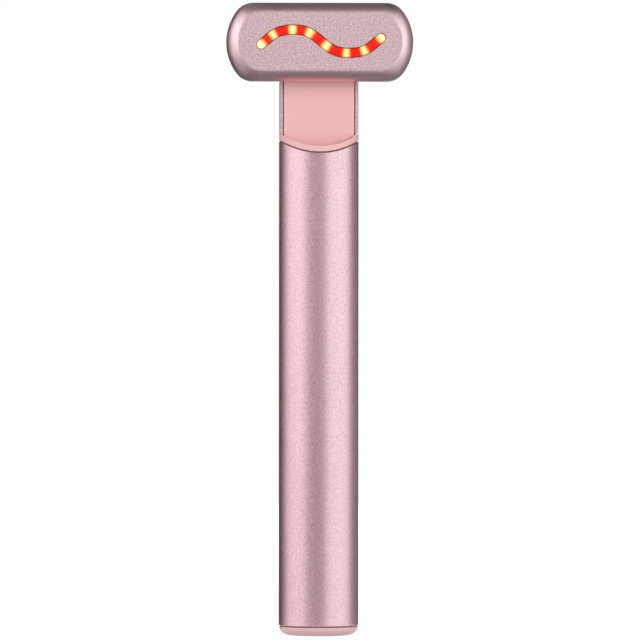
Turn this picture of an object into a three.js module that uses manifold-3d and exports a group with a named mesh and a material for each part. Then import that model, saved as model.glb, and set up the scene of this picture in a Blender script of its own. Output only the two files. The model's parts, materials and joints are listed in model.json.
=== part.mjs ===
// A facial wand: a metal tube handle, a moulded neck with a flat front, and a bar-shaped
// treatment head that turns on the neck between a T shape and in line with the handle.
// Millimetres, +Z up. The treatment face looks along -Y and the base stands at z = 0.

import * as THREE from 'three';
import { mergeVertices } from 'three/addons/utils/BufferGeometryUtils.js';
import Module from 'manifold-3d';

const wasm = await Module();
wasm.setup();

// Clearances
const seamGap = 0.3; // joint lines that show
const fitGap = 0.3; // round pieces that seat in others
const pressGap = 0.1; // pressed, soldered or bonded faces
const runGap = 0.2; // beside pieces that turn or slide
const overrun = 1; // how far a cutter passes the face that it cuts

// Handle tube
const tubeDiameter = 20;
const tubeWall = 1;
const tubeEdgeBreak = 0.15;

// Neck, its flat front, and the hollow arc that its foot and the tube share
const pivotHeight = 148.6;
const scoopDrop = 10; // from the pivot down to the centre of the arc
const scoopRadius = 16;
const collarWidth = 1.35;
const collarWall = 1.15; // at the sides and the back
const neckSetback = 0.15; // from the collar in to the side of the neck
const neckFlatDepth = 1.7; // from the tube's axis forward to the flat
const neckWall = 1.2;
const neckRim = 0.59; // edge left beside the inlaid cover
const plugLength = 15;
const plugWall = 1.7;
const boreRoof = 1.75; // below the ledge
const sealSection = 1.2;
const sealDrop = 8; // from the lowest point of the collar down to the seal

// Neck cover
const coverThickness = 1.2;
const coverGroove = 0.28;
const coverEdgeBreak = 0.2;
const coverBossLength = 1.2;
const coverBossWall = 1.1;
const clipLegThickness = 1;
const clipLegWidth = 3;
const clipLegLength = 3.4;
const clipBarb = 0.3;

// Swivel
const shaftBore = 3;
const shaftFlat = 0.5; // depth of the two flats that key the stop washer
const shaftTail = 0.4; // past the clip
const bushWall = 1;
const bushFlange = 0.8;
const bushFlangeLip = 0.8;
const washerHeight = 0.5;
const washerThickness = 0.25;
const washerLip = 1.4;
const stopThickness = 1;
const stopWallGap = 1.15; // from the tab's tip to the neck's wall
const stopTabWidth = 1.8;
const stopPost = 1.1;
const clipThickness = 0.6;
const clipGroove = 0.6;
const clipLip = 1.4;
const clipMouth = THREE.MathUtils.degToRad(50); // half of the opening
const hubFlange = 1;
const hubFlangeLip = 2.4;

// Head
const headLength = 47;
const headWidth = 19.8;
const headEndRadius = 13;
const headCornerRadius = 5;
const headGap = 0.3; // between the back of the head and the neck's flat
const headSideRound = 2.4; // width of the rounding above and below the face
const headSideDepth = 2.6;
const headEndRound = 4.7; // and at its ends
const headEndDepth = 5.2;
const headWall = 1;
const backWall = 1.2;
const backRim = 1.6; // height of the rear cover that shows from the side
const backRound = 0.9;
const pilotFloor = 0.24; // left below a screw's hole in the rear cover
const spigotWall = 0.75;
const boardRoom = 1.3; // between the hub's flange and the light board
const gasketInset = 0.35;

// Light window and its board
const waveEndMargin = 8.5; // from the wave's end to the head's end
const waveLength = 28;
const windowWidth = 2.5;
const windowGap = 0.12;
const windowRecess = 0.2;
const lensFlange = 0.8;
const lensFlangeLip = 1;
const ledGap = 0.4;
const ledHeight = 0.8;
const ledLength = 1.7;
const ledWidth = 2;
const ledBoardThickness = 0.8;
const ledBoardInset = 2.1;
const heaterThickness = 0.2;
const thermistorSize = 1.6;
const thermistorHeight = 0.7;
const springWidth = 1.8;
const springThickness = 0.25;
const springLength = 1.6;

// Small screws
const screwDiameter = 1.4;
const screwHeadDiameter = 2.6;
const screwHeadHeight = 0.5;
const screwRecess = 0.25;
const screwBite = 1.9; // below the head
const bossWall = 0.9;

// Base cap
const capFlange = 2.2; // height that shows below the tube
const capRoundHeight = 2;
const capRoundWidth = 2.8;
const capFloor = 1.6;
const capSkirtHeight = 9.2;
const capSkirtWall = 1.2;

// Power button in the base
const buttonWallGap = 0.24; // from the button's flange to the cap's wall
const buttonRecess = 0.2;
const buttonTravel = 0.35;
const buttonDish = 0.15;
const buttonEdge = 0.4;
const buttonFlange = 0.8;
const buttonFlangeLip = 0.7;
const buttonStem = 2.4;
const buttonGuideHeight = 2.6;
const buttonGuideWall = 0.6;
const switchSize = 4.4;
const switchHeight = 1.8;
const plungerDiameter = 2;
const plungerLength = 1.3;
const plungerReach = 0.7; // out of the switch

// Charging socket and status light in the base
const socketWidth = 8.9;
const socketHeight = 3.2;
const socketWall = 0.3;
const socketRecess = 0.6;
const tongueWidth = 6.6;
const tongueHeight = 0.7;
const tongueRecess = 1.6;
const socketRoot = 2.6;
const lightPipeDiameter = 1.1;
const statusLedSize = 1.6;
const statusLedHeight = 0.7;
const baseBoardThickness = 1;

// Chassis and battery
const chassisWall = 1.4;
const chassisWrap = THREE.MathUtils.degToRad(10); // past half way round, each side
const chassisFoot = 3; // room above the base board
const bulkhead = 1.2;
const cellNub = 0.8;
const cellNubDiameter = 4.4;
const cellEdge = 0.8;
const tabThickness = 0.25;
const tabWidth = 4;
const tabRoom = 0.6; // between a bulkhead and the cell's end
const padSpread = THREE.MathUtils.degToRad(30); // half of the pad's turn about the cell

// Main board
const boardThickness = 1;
const boardLength = 35.55;
const boardSideGap = 0.455; // from the board to the chassis wall
const boardDepth = 2; // its front face, behind the tube's axis
const boardEndGap = 0.5;
const railWidth = 1;
const railInset = 0.8;
const chipSize = 5.6;
const chipHeight = 0.9;
const inductorSize = 4.8;
const inductorHeight = 2.4;
const capacitorDiameter = 4.4;
const capacitorLength = 5.6;
const chargeChipSize = 3;
const plugSocketSize = 4.4;
const plugSocketDepth = 2.6;
const contactWidth = 3;
const contactRise = 5;
const contactThickness = 0.3;

// Motor
const cableRoom = 0.6; // between the motor boot and the cable
const motorLength = 8;
const motorBoss = 0.6;
const motorShaft = 1;
const weightLength = 3.4;
const weightSetback = 0.5; // inside the can's radius
const bootWall = 1;
const bootHeight = 7.4;
const troughWall = 1;
const troughHeight = 6;

// Cables
const cableDiameter = 2;
const connectorLength = 4;
const connectorWidth = 3;
const cableWallGap = 0.45; // behind the cable in the neck
const leadDiameter = 1.2;
const leadAngle = THREE.MathUtils.degToRad(215); // round the battery, from +X

// Shares and counts
const shaftShare = 0.383; // of the radius inside the neck
const buttonPlaceShare = 0.42; // of the base's flat radius, forward
const socketPlaceShare = 0.46; // backward
const lightPlaceShares = [0.7, -0.24]; // to the side and forward
const legPlaceShares = [0.3, 0.72]; // of the cover's straight side
const boardPlaceShares = { // of the main board's length, up from its bottom
  lead: 0.08,
  charge: 0.2,
  inductor: 0.345,
  capacitor: 0.5,
  chip: 0.665,
  cable: 0.78,
  contact: 0.88,
};
const waveHeightShare = 0.293; // of the head's half width
const waveFullnessShare = 0.3; // how much fuller its bends are than a sine wave's
const heaterShare = 0.78; // of the way from the head's side in to its face
const springPlaceShares = [-0.53, -0.5]; // of the head's half length and half width
const thermistorPlaceShares = [-0.45, -1.6]; // of half the wave's span and of its height
const ledPlaceShares = [-0.98, -0.79, -0.48, -0.19, 0.09, 0.42, 0.72, 1]; // of half the wave's span
const screwPlaceShares = [0.74, 0.43]; // of the head's half length and half width
const hubScrewCount = 3;
const roundSides = 48;
const midSides = 24;
const smallSides = 12;
const arcSteps = 6;
const faceSteps = 8;
const endSteps = 8;
const edgeSteps = 2;
const cornerSteps = 1;
const waveSteps = 28;
const cableSides = 8;
const cableSteps = 30;
const leadSteps = 18;

// Sizes that follow
const tubeRadius = tubeDiameter / 2;
const tubeInner = tubeRadius - tubeWall;
const tubeBottom = capFlange + seamGap;
const scoopZ = pivotHeight - scoopDrop;
const collarRadius = scoopRadius + collarWidth;
const tubeCutRadius = collarRadius + seamGap;
const collarLow = scoopZ - collarRadius;
const collarSideTop = scoopZ - Math.sqrt(scoopRadius ** 2 - tubeRadius ** 2);
const collarCore = tubeRadius - collarWall - fitGap; // radius of the neck inside its collar
const neckRadius = tubeRadius - neckSetback;
const flatY = -neckFlatDepth;
const flatHalfWidth = Math.sqrt(neckRadius ** 2 - neckFlatDepth ** 2);
const rebateHalfWidth = flatHalfWidth - neckRim;
const coverHalfWidth = rebateHalfWidth - coverGroove;
const coverBackY = flatY + coverThickness;
const shelfY = coverBackY + fitGap;
const plugRadius = tubeInner - fitGap;
const plugBottom = collarLow - plugLength;
const boreRadius = plugRadius - plugWall;
const boreTop = collarLow - boreRoof;
const cavityRadius = neckRadius - neckWall;
const sealMiddle = tubeInner - pressGap - sealSection / 2;
const sealGroove = sealMiddle - sealSection / 2 - pressGap; // radius of the grooves' floors
const neckSealZ = collarLow - sealDrop;
const capSealZ = (capFlange + capSkirtHeight) / 2;

const shaftRadius = shaftShare * cavityRadius;
const bushInner = shaftRadius + runGap;
const bushOuter = bushInner + bushWall;
const bushFlangeRadius = bushOuter + bushFlangeLip;
const coverHole = bushOuter + pressGap;
const coverBossRadius = coverHole + coverBossWall;
const bossEndY = coverBackY + coverBossLength;
const bushFlangeY = bossEndY + pressGap;
const washerY = bushFlangeY + bushFlange + pressGap;
const stopY = washerY + washerHeight + pressGap;
const clipY = stopY + stopThickness + pressGap;
const shaftEndY = clipY + clipThickness + pressGap + shaftTail;
const stopRadius = bushInner + washerLip + fitGap;

const headBackY = flatY - headGap;
const backInnerY = headBackY - backWall;
const hubBackY = backInnerY - fitGap;
const hubFrontY = hubBackY - hubFlange;
const ledBoardBackY = hubFrontY - boardRoom;
const ledBoardFrontY = ledBoardBackY - ledBoardThickness;
const ledBackY = ledBoardFrontY - pressGap;
const ledFrontY = ledBackY - ledHeight;
const lensBackY = ledFrontY - ledGap;
const lensFlangeY = lensBackY - lensFlange;
const faceInnerY = lensFlangeY - fitGap;
const headFrontY = faceInnerY - headWall;
const backRimY = headBackY - backRim;
const shellRimY = backRimY - seamGap;
const hubFlangeRadius = shaftRadius + hubFlangeLip;
const waveSpan = headLength - 2 * waveEndMargin;
const waveHeight = (waveHeightShare * headWidth) / 2;
const spigotInset = headWall + 2 * fitGap;

const capRadius = tubeRadius - neckSetback;
const capFlatRadius = capRadius - capRoundWidth;
const capWallInner = sealGroove - capSkirtWall;
const buttonY = -buttonPlaceShare * capFlatRadius;
const buttonRadius = capWallInner + buttonY - buttonWallGap - buttonFlangeLip;
const socketY = socketPlaceShare * capFlatRadius;
const baseBoardZ = capSkirtHeight + fitGap;
const switchTop = baseBoardZ - pressGap;
const switchBottom = switchTop - switchHeight;
const plungerBottom = switchBottom - plungerReach;

const chassisRadius = tubeInner - fitGap;
const chassisInner = chassisRadius - chassisWall;
const chassisBottom = baseBoardZ + baseBoardThickness + fitGap;
const lowerBulkheadZ = chassisBottom + chassisFoot;
const cellRadius = chassisInner - fitGap;
const cellBottom = lowerBulkheadZ + bulkhead + tabRoom;
const chassisTop = plugBottom - fitGap;
const topBulkheadZ = chassisTop - bulkhead;
const boardBottom = topBulkheadZ - boardEndGap - boardLength;
const midBulkheadZ = boardBottom - boardEndGap - bulkhead;
const cellTop = midBulkheadZ - tabRoom - cellNub;
const boardBackY = boardDepth + boardThickness;
const boardWidth = 2 * (Math.sqrt(chassisInner ** 2 - boardBackY ** 2) - boardSideGap);

const bootRadius = boreRadius - fitGap - cableDiameter - cableRoom;
const bootInner = bootRadius - bootWall;
const motorRadius = bootInner - pressGap;
const bootBottom = chassisTop + pressGap;
const motorBottom = bootBottom + bootWall;
const motorTop = motorBottom + motorLength;
const weightBottom = motorTop + motorBoss + runGap;

const cableRadius = cableDiameter / 2;
const leadRadius = leadDiameter / 2;
const leadReach = (chassisInner + chassisRadius) / 2;
const leadX = leadReach * Math.cos(leadAngle);
const leadY = leadReach * Math.sin(leadAngle);

const finishes = {
  roseMetal: { color: 0xd9a9b2, roughness: 0.38, metalness: 1 },
  blushPlastic: { color: 0xedbbbc, roughness: 0.5, metalness: 0 },
  redLens: { color: 0xe2241a, roughness: 0.2, metalness: 0 },
  paleLight: { color: 0xfff3b0, roughness: 0.4, metalness: 0 },
  whiteBoard: { color: 0xe8e8e2, roughness: 0.5, metalness: 0 },
  greenBoard: { color: 0x1e5c3a, roughness: 0.5, metalness: 0 },
  blackPlastic: { color: 0x1d1d1f, roughness: 0.5, metalness: 0 },
  ivoryPlastic: { color: 0xdcd8cc, roughness: 0.5, metalness: 0 },
  clearPlastic: { color: 0xe9eef0, roughness: 0.1, metalness: 0 },
  steel: { color: 0xb9bcc0, roughness: 0.3, metalness: 1 },
  brass: { color: 0xc9a44c, roughness: 0.3, metalness: 1 },
  blueWrap: { color: 0x2f5f9a, roughness: 0.4, metalness: 0 },
  amberFilm: { color: 0xc07a2a, roughness: 0.3, metalness: 0 },
  greyRubber: { color: 0x6c6668, roughness: 0.8, metalness: 0 },
  greyFoam: { color: 0x8c8c8c, roughness: 0.9, metalness: 0 },
};

// Closed geometry to a solid that can be joined and cut
function solidOf(geometry) {
  const bare = new THREE.BufferGeometry();
  bare.setAttribute('position', geometry.getAttribute('position'));
  bare.setIndex(geometry.index);
  const merged = mergeVertices(bare);
  const points = merged.getAttribute('position');
  const corners = merged.index.array;
  const triangles = [];
  for (let i = 0; i < corners.length; i += 3) {
    const [a, b, c] = corners.slice(i, i + 3);
    if (a !== b && b !== c && c !== a) triangles.push([a, b, c]);
  }
  const [a, b, c] = [new THREE.Vector3(), new THREE.Vector3(), new THREE.Vector3()];
  let volume = 0;
  for (const [i, j, k] of triangles) {
    a.fromBufferAttribute(points, i);
    b.fromBufferAttribute(points, j);
    c.fromBufferAttribute(points, k);
    volume += a.dot(b.cross(c));
  }
  const outward = volume < 0 ? triangles.map(([i, j, k]) => [i, k, j]) : triangles;
  return new wasm.Manifold(new wasm.Mesh({
    numProp: 3,
    vertProperties: new Float32Array(points.array),
    triVerts: new Uint32Array(outward.flat()),
  }));
}

function geometryOf(solid) {
  const mesh = solid.getMesh();
  const geometry = new THREE.BufferGeometry();
  geometry.setAttribute('position', new THREE.BufferAttribute(mesh.vertProperties, 3));
  geometry.setIndex(new THREE.BufferAttribute(mesh.triVerts, 1));
  geometry.computeVertexNormals();
  return geometry;
}

const join = (first, ...others) => others.reduce((solid, other) => solid.add(other), first);
const cut = (first, ...others) => others.reduce((solid, other) => solid.subtract(other), first);

// Solid of revolution about the tube's axis, from [radius, z] pairs
function turnedZ(profile, sides) {
  const points = profile.map(([radius, z]) => new THREE.Vector2(radius, z));
  return solidOf(new THREE.LatheGeometry(points, sides).rotateX(Math.PI / 2));
}

// Solid of revolution about the pivot's axis, from [radius, y] pairs
function turnedY(profile, sides) {
  const points = profile.map(([radius, y]) => new THREE.Vector2(radius, y));
  return solidOf(new THREE.LatheGeometry(points, sides));
}

function rodZ(radius, bottom, top, sides) {
  return turnedZ([[0, bottom], [radius, bottom], [radius, top], [0, top]], sides);
}

function rodY(radius, back, front, sides) {
  return turnedY([[0, front], [radius, front], [radius, back], [0, back]], sides);
}

function ringZ(inner, outer, bottom, top, sides) {
  const profile = [[inner, bottom], [outer, bottom], [outer, top], [inner, top], [inner, bottom]];
  return turnedZ(profile, sides);
}

// Outline in the x-y plane, extruded up from bottom to top
function prism(points, bottom, top) {
  const settings = { depth: top - bottom, bevelEnabled: false };
  const geometry = new THREE.ExtrudeGeometry(new THREE.Shape(points), settings);
  return solidOf(geometry.translate(0, 0, bottom));
}

// Outline in the x-z plane, extruded from its back face to its front face
function plate(points, back, front, edgeBreak = 0) {
  const settings = {
    depth: back - front - 2 * edgeBreak,
    bevelEnabled: edgeBreak > 0,
    bevelThickness: edgeBreak,
    bevelSize: edgeBreak,
    bevelOffset: -edgeBreak,
    bevelSegments: 2,
  };
  const geometry = new THREE.ExtrudeGeometry(new THREE.Shape(points), settings);
  return solidOf(geometry.rotateX(Math.PI / 2).translate(0, back - edgeBreak, 0));
}

function block([x0, x1], [y0, y1], [z0, z1]) {
  const geometry = new THREE.BoxGeometry(x1 - x0, y1 - y0, z1 - z0);
  return solidOf(geometry.translate((x0 + x1) / 2, (y0 + y1) / 2, (z0 + z1) / 2));
}

function arcPoints(x, y, radius, from, to, steps) {
  const points = [];
  for (let i = 0; i <= steps; i += 1) {
    const angle = from + ((to - from) * i) / steps;
    points.push(new THREE.Vector2(x + radius * Math.cos(angle), y + radius * Math.sin(angle)));
  }
  return points;
}

// Part of a ring's section, as an outline
function ringSector(inner, outer, from, to, steps) {
  return [
    ...arcPoints(0, 0, outer, from, to, steps),
    ...arcPoints(0, 0, inner, to, from, steps),
  ];
}

function slotOutline(width, height, y) {
  const end = (width - height) / 2;
  return [
    ...arcPoints(end, y, height / 2, -Math.PI / 2, Math.PI / 2, arcSteps),
    ...arcPoints(-end, y, height / 2, Math.PI / 2, Math.PI * 1.5, arcSteps),
  ];
}

function roundedRectangle(width, height, corner) {
  const x = width / 2 - corner;
  const y = height / 2 - corner;
  const quarter = Math.PI / 2;
  return [[x, y, 0], [-x, y, 1], [-x, -y, 2], [x, -y, 3]].flatMap(([cx, cy, turn]) => (
    arcPoints(cx, cy, corner, turn * quarter, (turn + 1) * quarter, cornerSteps)
  ));
}

function squarePrism(size, bottom, top) {
  return prism(roundedRectangle(size, size, size / arcSteps), bottom, top);
}

// Loft through closed rings of points with as many points each, with flat ends
function loft(rings) {
  const count = rings[0].length;
  const positions = rings.flatMap((ring) => ring.flatMap(({ x, y, z }) => [x, y, z]));
  const index = [];
  for (let r = 0; r + 1 < rings.length; r += 1) {
    for (let i = 0; i < count; i += 1) {
      const next = (i + 1) % count;
      const [a, b] = [r * count + i, r * count + next];
      index.push(a, b, b + count, a, b + count, a + count);
    }
  }
  const flat = (ring) => ring.map(({ x, z }) => new THREE.Vector2(x, z));
  for (const [a, b, c] of THREE.ShapeUtils.triangulateShape(flat(rings[0]), [])) index.push(a, c, b);
  const last = (rings.length - 1) * count;
  for (const [a, b, c] of THREE.ShapeUtils.triangulateShape(flat(rings.at(-1)), [])) {
    index.push(last + a, last + b, last + c);
  }
  const geometry = new THREE.BufferGeometry();
  geometry.setAttribute('position', new THREE.Float32BufferAttribute(positions, 3));
  geometry.setIndex(index);
  return solidOf(geometry);
}

// Round section along a smooth path, closed at both ends
function cable(points, radius, steps) {
  const path = new THREE.CatmullRomCurve3(points, false, 'centripetal');
  const section = new THREE.Shape(arcPoints(0, 0, radius, 0, Math.PI * 2, cableSides).slice(1));
  const settings = { steps, bevelEnabled: false, extrudePath: path };
  return solidOf(new THREE.ExtrudeGeometry(section, settings));
}

const assembly = new THREE.Group();

function place(name, solid, finish) {
  const mesh = new THREE.Mesh(geometryOf(solid), new THREE.MeshStandardMaterial(finish));
  mesh.name = name;
  assembly.add(mesh);
}

// Region above the hollow arc, seen from the front
function scoopOutline(radius) {
  const top = pivotHeight + neckRadius + overrun;
  return [
    new THREE.Vector2(radius, top),
    new THREE.Vector2(-radius, top),
    ...arcPoints(0, scoopZ, radius, Math.PI, Math.PI * 2, roundSides / 2),
  ];
}

function scoopCutter(radius) {
  const reach = tubeRadius + overrun;
  return plate(scoopOutline(radius), reach, -reach);
}

// Face of the neck: hollow arc below, straight sides, round top about the pivot
function neckFaceOutline(halfWidth, arcRadius) {
  const turn = Math.asin(halfWidth / arcRadius);
  const down = -Math.PI / 2;
  return [
    ...arcPoints(0, scoopZ, arcRadius, down - turn, down + turn, smallSides),
    ...arcPoints(0, pivotHeight, halfWidth, 0, Math.PI, smallSides),
  ];
}

// Rod with a domed top about the pivot
function domedRod(radius, bottom, sides) {
  const dome = arcPoints(0, pivotHeight, radius, 0, Math.PI / 2, arcSteps);
  return turnedZ([[0, bottom], [radius, bottom], ...dome.map(({ x, y }) => [x, y])], sides);
}

function handleTube() {
  const brk = tubeEdgeBreak;
  const top = scoopZ;
  const tube = turnedZ([
    [tubeInner + brk, tubeBottom],
    [tubeRadius - brk, tubeBottom],
    [tubeRadius, tubeBottom + brk],
    [tubeRadius, top],
    [tubeInner, top],
    [tubeInner, tubeBottom + brk],
    [tubeInner + brk, tubeBottom],
  ], roundSides);
  return cut(tube, scoopCutter(tubeCutRadius));
}

function neckCavity() {
  const behindShelf = behind(shelfY);
  const bore = rodZ(boreRadius, plugBottom - overrun, boreTop, midSides);
  const throat = rodZ(boreRadius, boreTop - overrun, collarSideTop + overrun, midSides);
  const chamber = domedRod(cavityRadius, collarSideTop, midSides);
  return join(bore, throat.intersect(behindShelf), chamber.intersect(behindShelf));
}

// Region from a plane across the tube's axis to the back
function behind(y) {
  const reach = tubeRadius + overrun;
  return block([-reach, reach], [y, reach], [boreTop - overrun, pivotHeight + reach]);
}

// Neck: flat-fronted domed column on a narrower core, and a plug that fills the tube's end
function neckFrame() {
  const reach = tubeRadius + overrun;
  const aboveCollar = scoopRadius - pressGap;
  const column = domedRod(neckRadius, boreTop, roundSides).intersect(scoopCutter(aboveCollar));
  const front = plate(scoopOutline(scoopRadius), flatY, -reach);
  const core = rodZ(collarCore, boreTop, collarSideTop, midSides).intersect(behind(shelfY));
  const plugRod = rodZ(plugRadius, plugBottom, scoopZ, roundSides);
  const plug = cut(plugRod, scoopCutter(collarRadius + pressGap));
  const grooveHalf = sealSection / 2 + pressGap;
  const groove = ringZ(sealGroove, reach, neckSealZ - grooveHalf, neckSealZ + grooveHalf, midSides);
  const rebate = plate(neckFaceOutline(rebateHalfWidth, scoopRadius), shelfY, -reach);
  return cut(join(cut(column, front), core, plug), groove, rebate, neckCavity());
}

// Band flush with the tube that follows the hollow arc and makes the ledge below the flat front
function neckCollar() {
  const disc = rodZ(tubeRadius, boreTop, scoopZ, roundSides);
  const band = cut(disc.intersect(scoopCutter(collarRadius)), scoopCutter(scoopRadius));
  const hole = rodZ(collarCore + fitGap, boreTop, scoopZ, midSides);
  return cut(band, hole.intersect(behind(shelfY - fitGap)));
}

// Leg that snaps behind the neck's wall, moulded on the back of the cover
function coverLeg(side, z) {
  const cavityAt = (y) => Math.sqrt(cavityRadius ** 2 - y ** 2);
  const tip = coverBackY + clipLegLength;
  const outer = cavityAt(tip) - fitGap;
  const inner = outer - clipLegThickness;
  const root = coverBackY - coverThickness / 2;
  const outline = [
    [inner, root],
    [outer, root],
    [outer, tip - 3 * clipBarb],
    [outer + clipBarb, tip - 2 * clipBarb],
    [outer, tip],
    [inner, tip],
  ].map(([x, y]) => new THREE.Vector2(side * x, y));
  return prism(outline, z - clipLegWidth / 2, z + clipLegWidth / 2);
}

// Post that the stop washer's tab meets at the end of the turn
function stopPostSolid(side) {
  const inner = bushFlangeRadius + fitGap;
  const top = pivotHeight - stopTabWidth / 2 - fitGap;
  const xs = [side * inner, side * (inner + stopPost)].sort((a, b) => a - b);
  const ys = [coverBackY - coverThickness / 2, stopY + stopThickness];
  return block(xs, ys, [top - stopPost, top]);
}

function neckCover() {
  const outline = neckFaceOutline(coverHalfWidth, scoopRadius - seamGap);
  const panel = plate(outline, coverBackY, flatY, coverEdgeBreak);
  const boss = rodY(coverBossRadius, bossEndY, coverBackY - coverThickness / 2, midSides);
  const hole = rodY(coverHole, bossEndY + overrun, flatY - overrun, midSides);
  const sideBottom = scoopZ - Math.sqrt(scoopRadius ** 2 - coverHalfWidth ** 2);
  const legs = [-1, 1].flatMap((side) => legPlaceShares.map((share) => (
    coverLeg(side, sideBottom + share * (scoopZ - sideBottom))
  )));
  const posts = [-1, 1].map(stopPostSolid);
  return cut(join(panel, atPivot(boss), ...legs, ...posts), atPivot(hole));
}

// Lifts a piece that is drawn about the origin to the pivot's height
function atPivot(solid) {
  return solid.translate([0, 0, pivotHeight]);
}

// Rubber ring between a plug and the tube
function sealRing(z) {
  const section = arcPoints(sealMiddle, z, sealSection / 2, 0, Math.PI * 2, arcSteps);
  return turnedZ(section.map(({ x, y }) => [x, y]), midSides);
}

function swivelBush() {
  return turnedY([
    [bushInner, flatY],
    [bushOuter, flatY],
    [bushOuter, bushFlangeY],
    [bushFlangeRadius, bushFlangeY],
    [bushFlangeRadius, bushFlangeY + bushFlange],
    [bushInner, bushFlangeY + bushFlange],
    [bushInner, flatY],
  ], midSides);
}

// Spring washer with three waves, as one ring of thin sections
function waveWasher() {
  const inner = bushInner;
  const outer = bushInner + washerLip;
  const swing = (washerHeight - washerThickness) / 2;
  const corners = [];
  for (let i = 0; i < midSides; i += 1) {
    const angle = (i / midSides) * Math.PI * 2;
    const low = washerY + swing * (1 + Math.cos(3 * angle));
    const high = low + washerThickness;
    for (const [radius, y] of [[inner, low], [outer, low], [outer, high], [inner, high]]) {
      corners.push(radius * Math.cos(angle), y, radius * Math.sin(angle));
    }
  }
  const index = [];
  for (let i = 0; i < midSides; i += 1) {
    const here = i * 4;
    const there = ((i + 1) % midSides) * 4;
    for (let side = 0; side < 4; side += 1) {
      const next = (side + 1) % 4;
      index.push(here + side, there + side, there + next, here + side, there + next, here + next);
    }
  }
  const geometry = new THREE.BufferGeometry();
  geometry.setAttribute('position', new THREE.Float32BufferAttribute(corners, 3));
  geometry.setIndex(index);
  return solidOf(geometry);
}

// Round bar with two flats, for the shaft's keyed end and for the hole that fits it
function keyedRod(radius, halfFlat, back, front) {
  const reach = radius + overrun;
  const between = block([-halfFlat, halfFlat], [front, back], [-reach, reach]);
  return rodY(radius, back, front, midSides).intersect(between);
}

// Hollow shaft with a flange in the head, keyed for the stop washer and grooved for its clip
function swivelShaft() {
  const key = shaftRadius - shaftFlat;
  const body = rodY(shaftRadius, stopY - pressGap, hubBackY, midSides);
  const tail = keyedRod(shaftRadius, key, shaftEndY, stopY - 2 * pressGap);
  const flange = rodY(hubFlangeRadius, hubBackY, hubFrontY, midSides);
  const bore = rodY(shaftBore / 2, shaftEndY + overrun, hubFrontY - overrun, smallSides);
  const grooveBack = clipY + clipThickness + pressGap;
  const grooveRadius = shaftRadius - clipGroove;
  const around = rodY(shaftRadius + overrun, grooveBack, clipY - pressGap, smallSides);
  const groove = cut(around, rodY(grooveRadius, grooveBack + overrun, clipY - overrun, smallSides));
  return cut(join(body, tail, flange), bore, groove, ...hubScrewPlaces().map(([x, z]) => (
    screwHole(x, z, hubFrontY, hubBackY + overrun)
  )));
}

function hubScrewPlaces() {
  const reach = (shaftRadius + hubFlangeRadius) / 2;
  return Array.from({ length: hubScrewCount }, (_, i) => {
    const angle = Math.PI / 2 + (i / hubScrewCount) * Math.PI * 2;
    return [reach * Math.cos(angle), reach * Math.sin(angle)];
  });
}

function screwHole(x, z, front, back) {
  return rodY(screwDiameter / 2 + pressGap, back, front - overrun, smallSides).translate([x, 0, z]);
}

// Pan-head screw driven from the front, its head on the given face
function screw(x, z, face) {
  const seat = face - pressGap;
  const top = seat - screwHeadHeight;
  const headRadius = screwHeadDiameter / 2;
  const shank = screwDiameter / 2;
  const body = turnedY([
    [0, top],
    [headRadius - screwRecess, top],
    [headRadius, top + screwRecess],
    [headRadius, seat],
    [shank, seat],
    [shank, seat + screwBite - shank],
    [0, seat + screwBite],
  ], smallSides);
  const arm = headRadius - 2 * screwRecess;
  const depth = [top - overrun, top + screwRecess];
  const half = screwRecess / 2;
  const cross = join(block([-arm, arm], depth, [-half, half]), block([-half, half], depth, [-arm, arm]));
  return cut(body, cross).translate([x, 0, z]);
}

// Keyed washer whose tab ends the head's turn at the cover's posts
function stopWasher() {
  const disc = rodY(stopRadius, stopY + stopThickness, stopY, midSides);
  const half = stopTabWidth / 2;
  const back = stopY + stopThickness;
  const tab = block([-half, half], [stopY, back], [stopRadius / 2, cavityRadius - stopWallGap]);
  const holeKey = shaftRadius - shaftFlat + pressGap;
  const hole = keyedRod(shaftRadius + pressGap, holeKey, back + overrun, stopY - overrun);
  return cut(join(disc, tab), hole);
}

function retainingClip() {
  const inner = shaftRadius - clipGroove + pressGap;
  const outer = inner + clipLip + clipGroove;
  const from = clipMouth - Math.PI / 2;
  const to = Math.PI * 1.5 - clipMouth;
  return plate(ringSector(inner, outer, from, to, midSides), clipY + clipThickness, clipY);
}

// Outline of the head, drawn in from its edge by inset: flat-ended ovals with blended corners
function headPoints(inset) {
  const endX = headLength / 2 - headEndRadius;
  const cornerZ = headWidth / 2 - headCornerRadius;
  const cornerX = endX + Math.sqrt((headEndRadius - headCornerRadius) ** 2 - cornerZ ** 2);
  const turn = Math.atan2(cornerZ, cornerX - endX);
  const end = headEndRadius - inset;
  const corner = headCornerRadius - inset;
  const half = [
    ...arcPoints(cornerX, -cornerZ, corner, -Math.PI / 2, -turn, arcSteps),
    ...arcPoints(endX, 0, end, -turn, turn, endSteps).slice(1),
    ...arcPoints(cornerX, cornerZ, corner, turn, Math.PI / 2, arcSteps).slice(1),
  ];
  return [...half, ...half.map(({ x, y }) => new THREE.Vector2(-x, -y))];
}

// The same outline drawn in at its ends and at its sides
function headSection(inset, [endInset, sideInset]) {
  const across = 1 - endInset / (headLength / 2 - inset);
  const up = 1 - sideInset / (headWidth / 2 - inset);
  return headPoints(inset).map(({ x, y }) => new THREE.Vector2(x * across, y * up));
}

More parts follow.
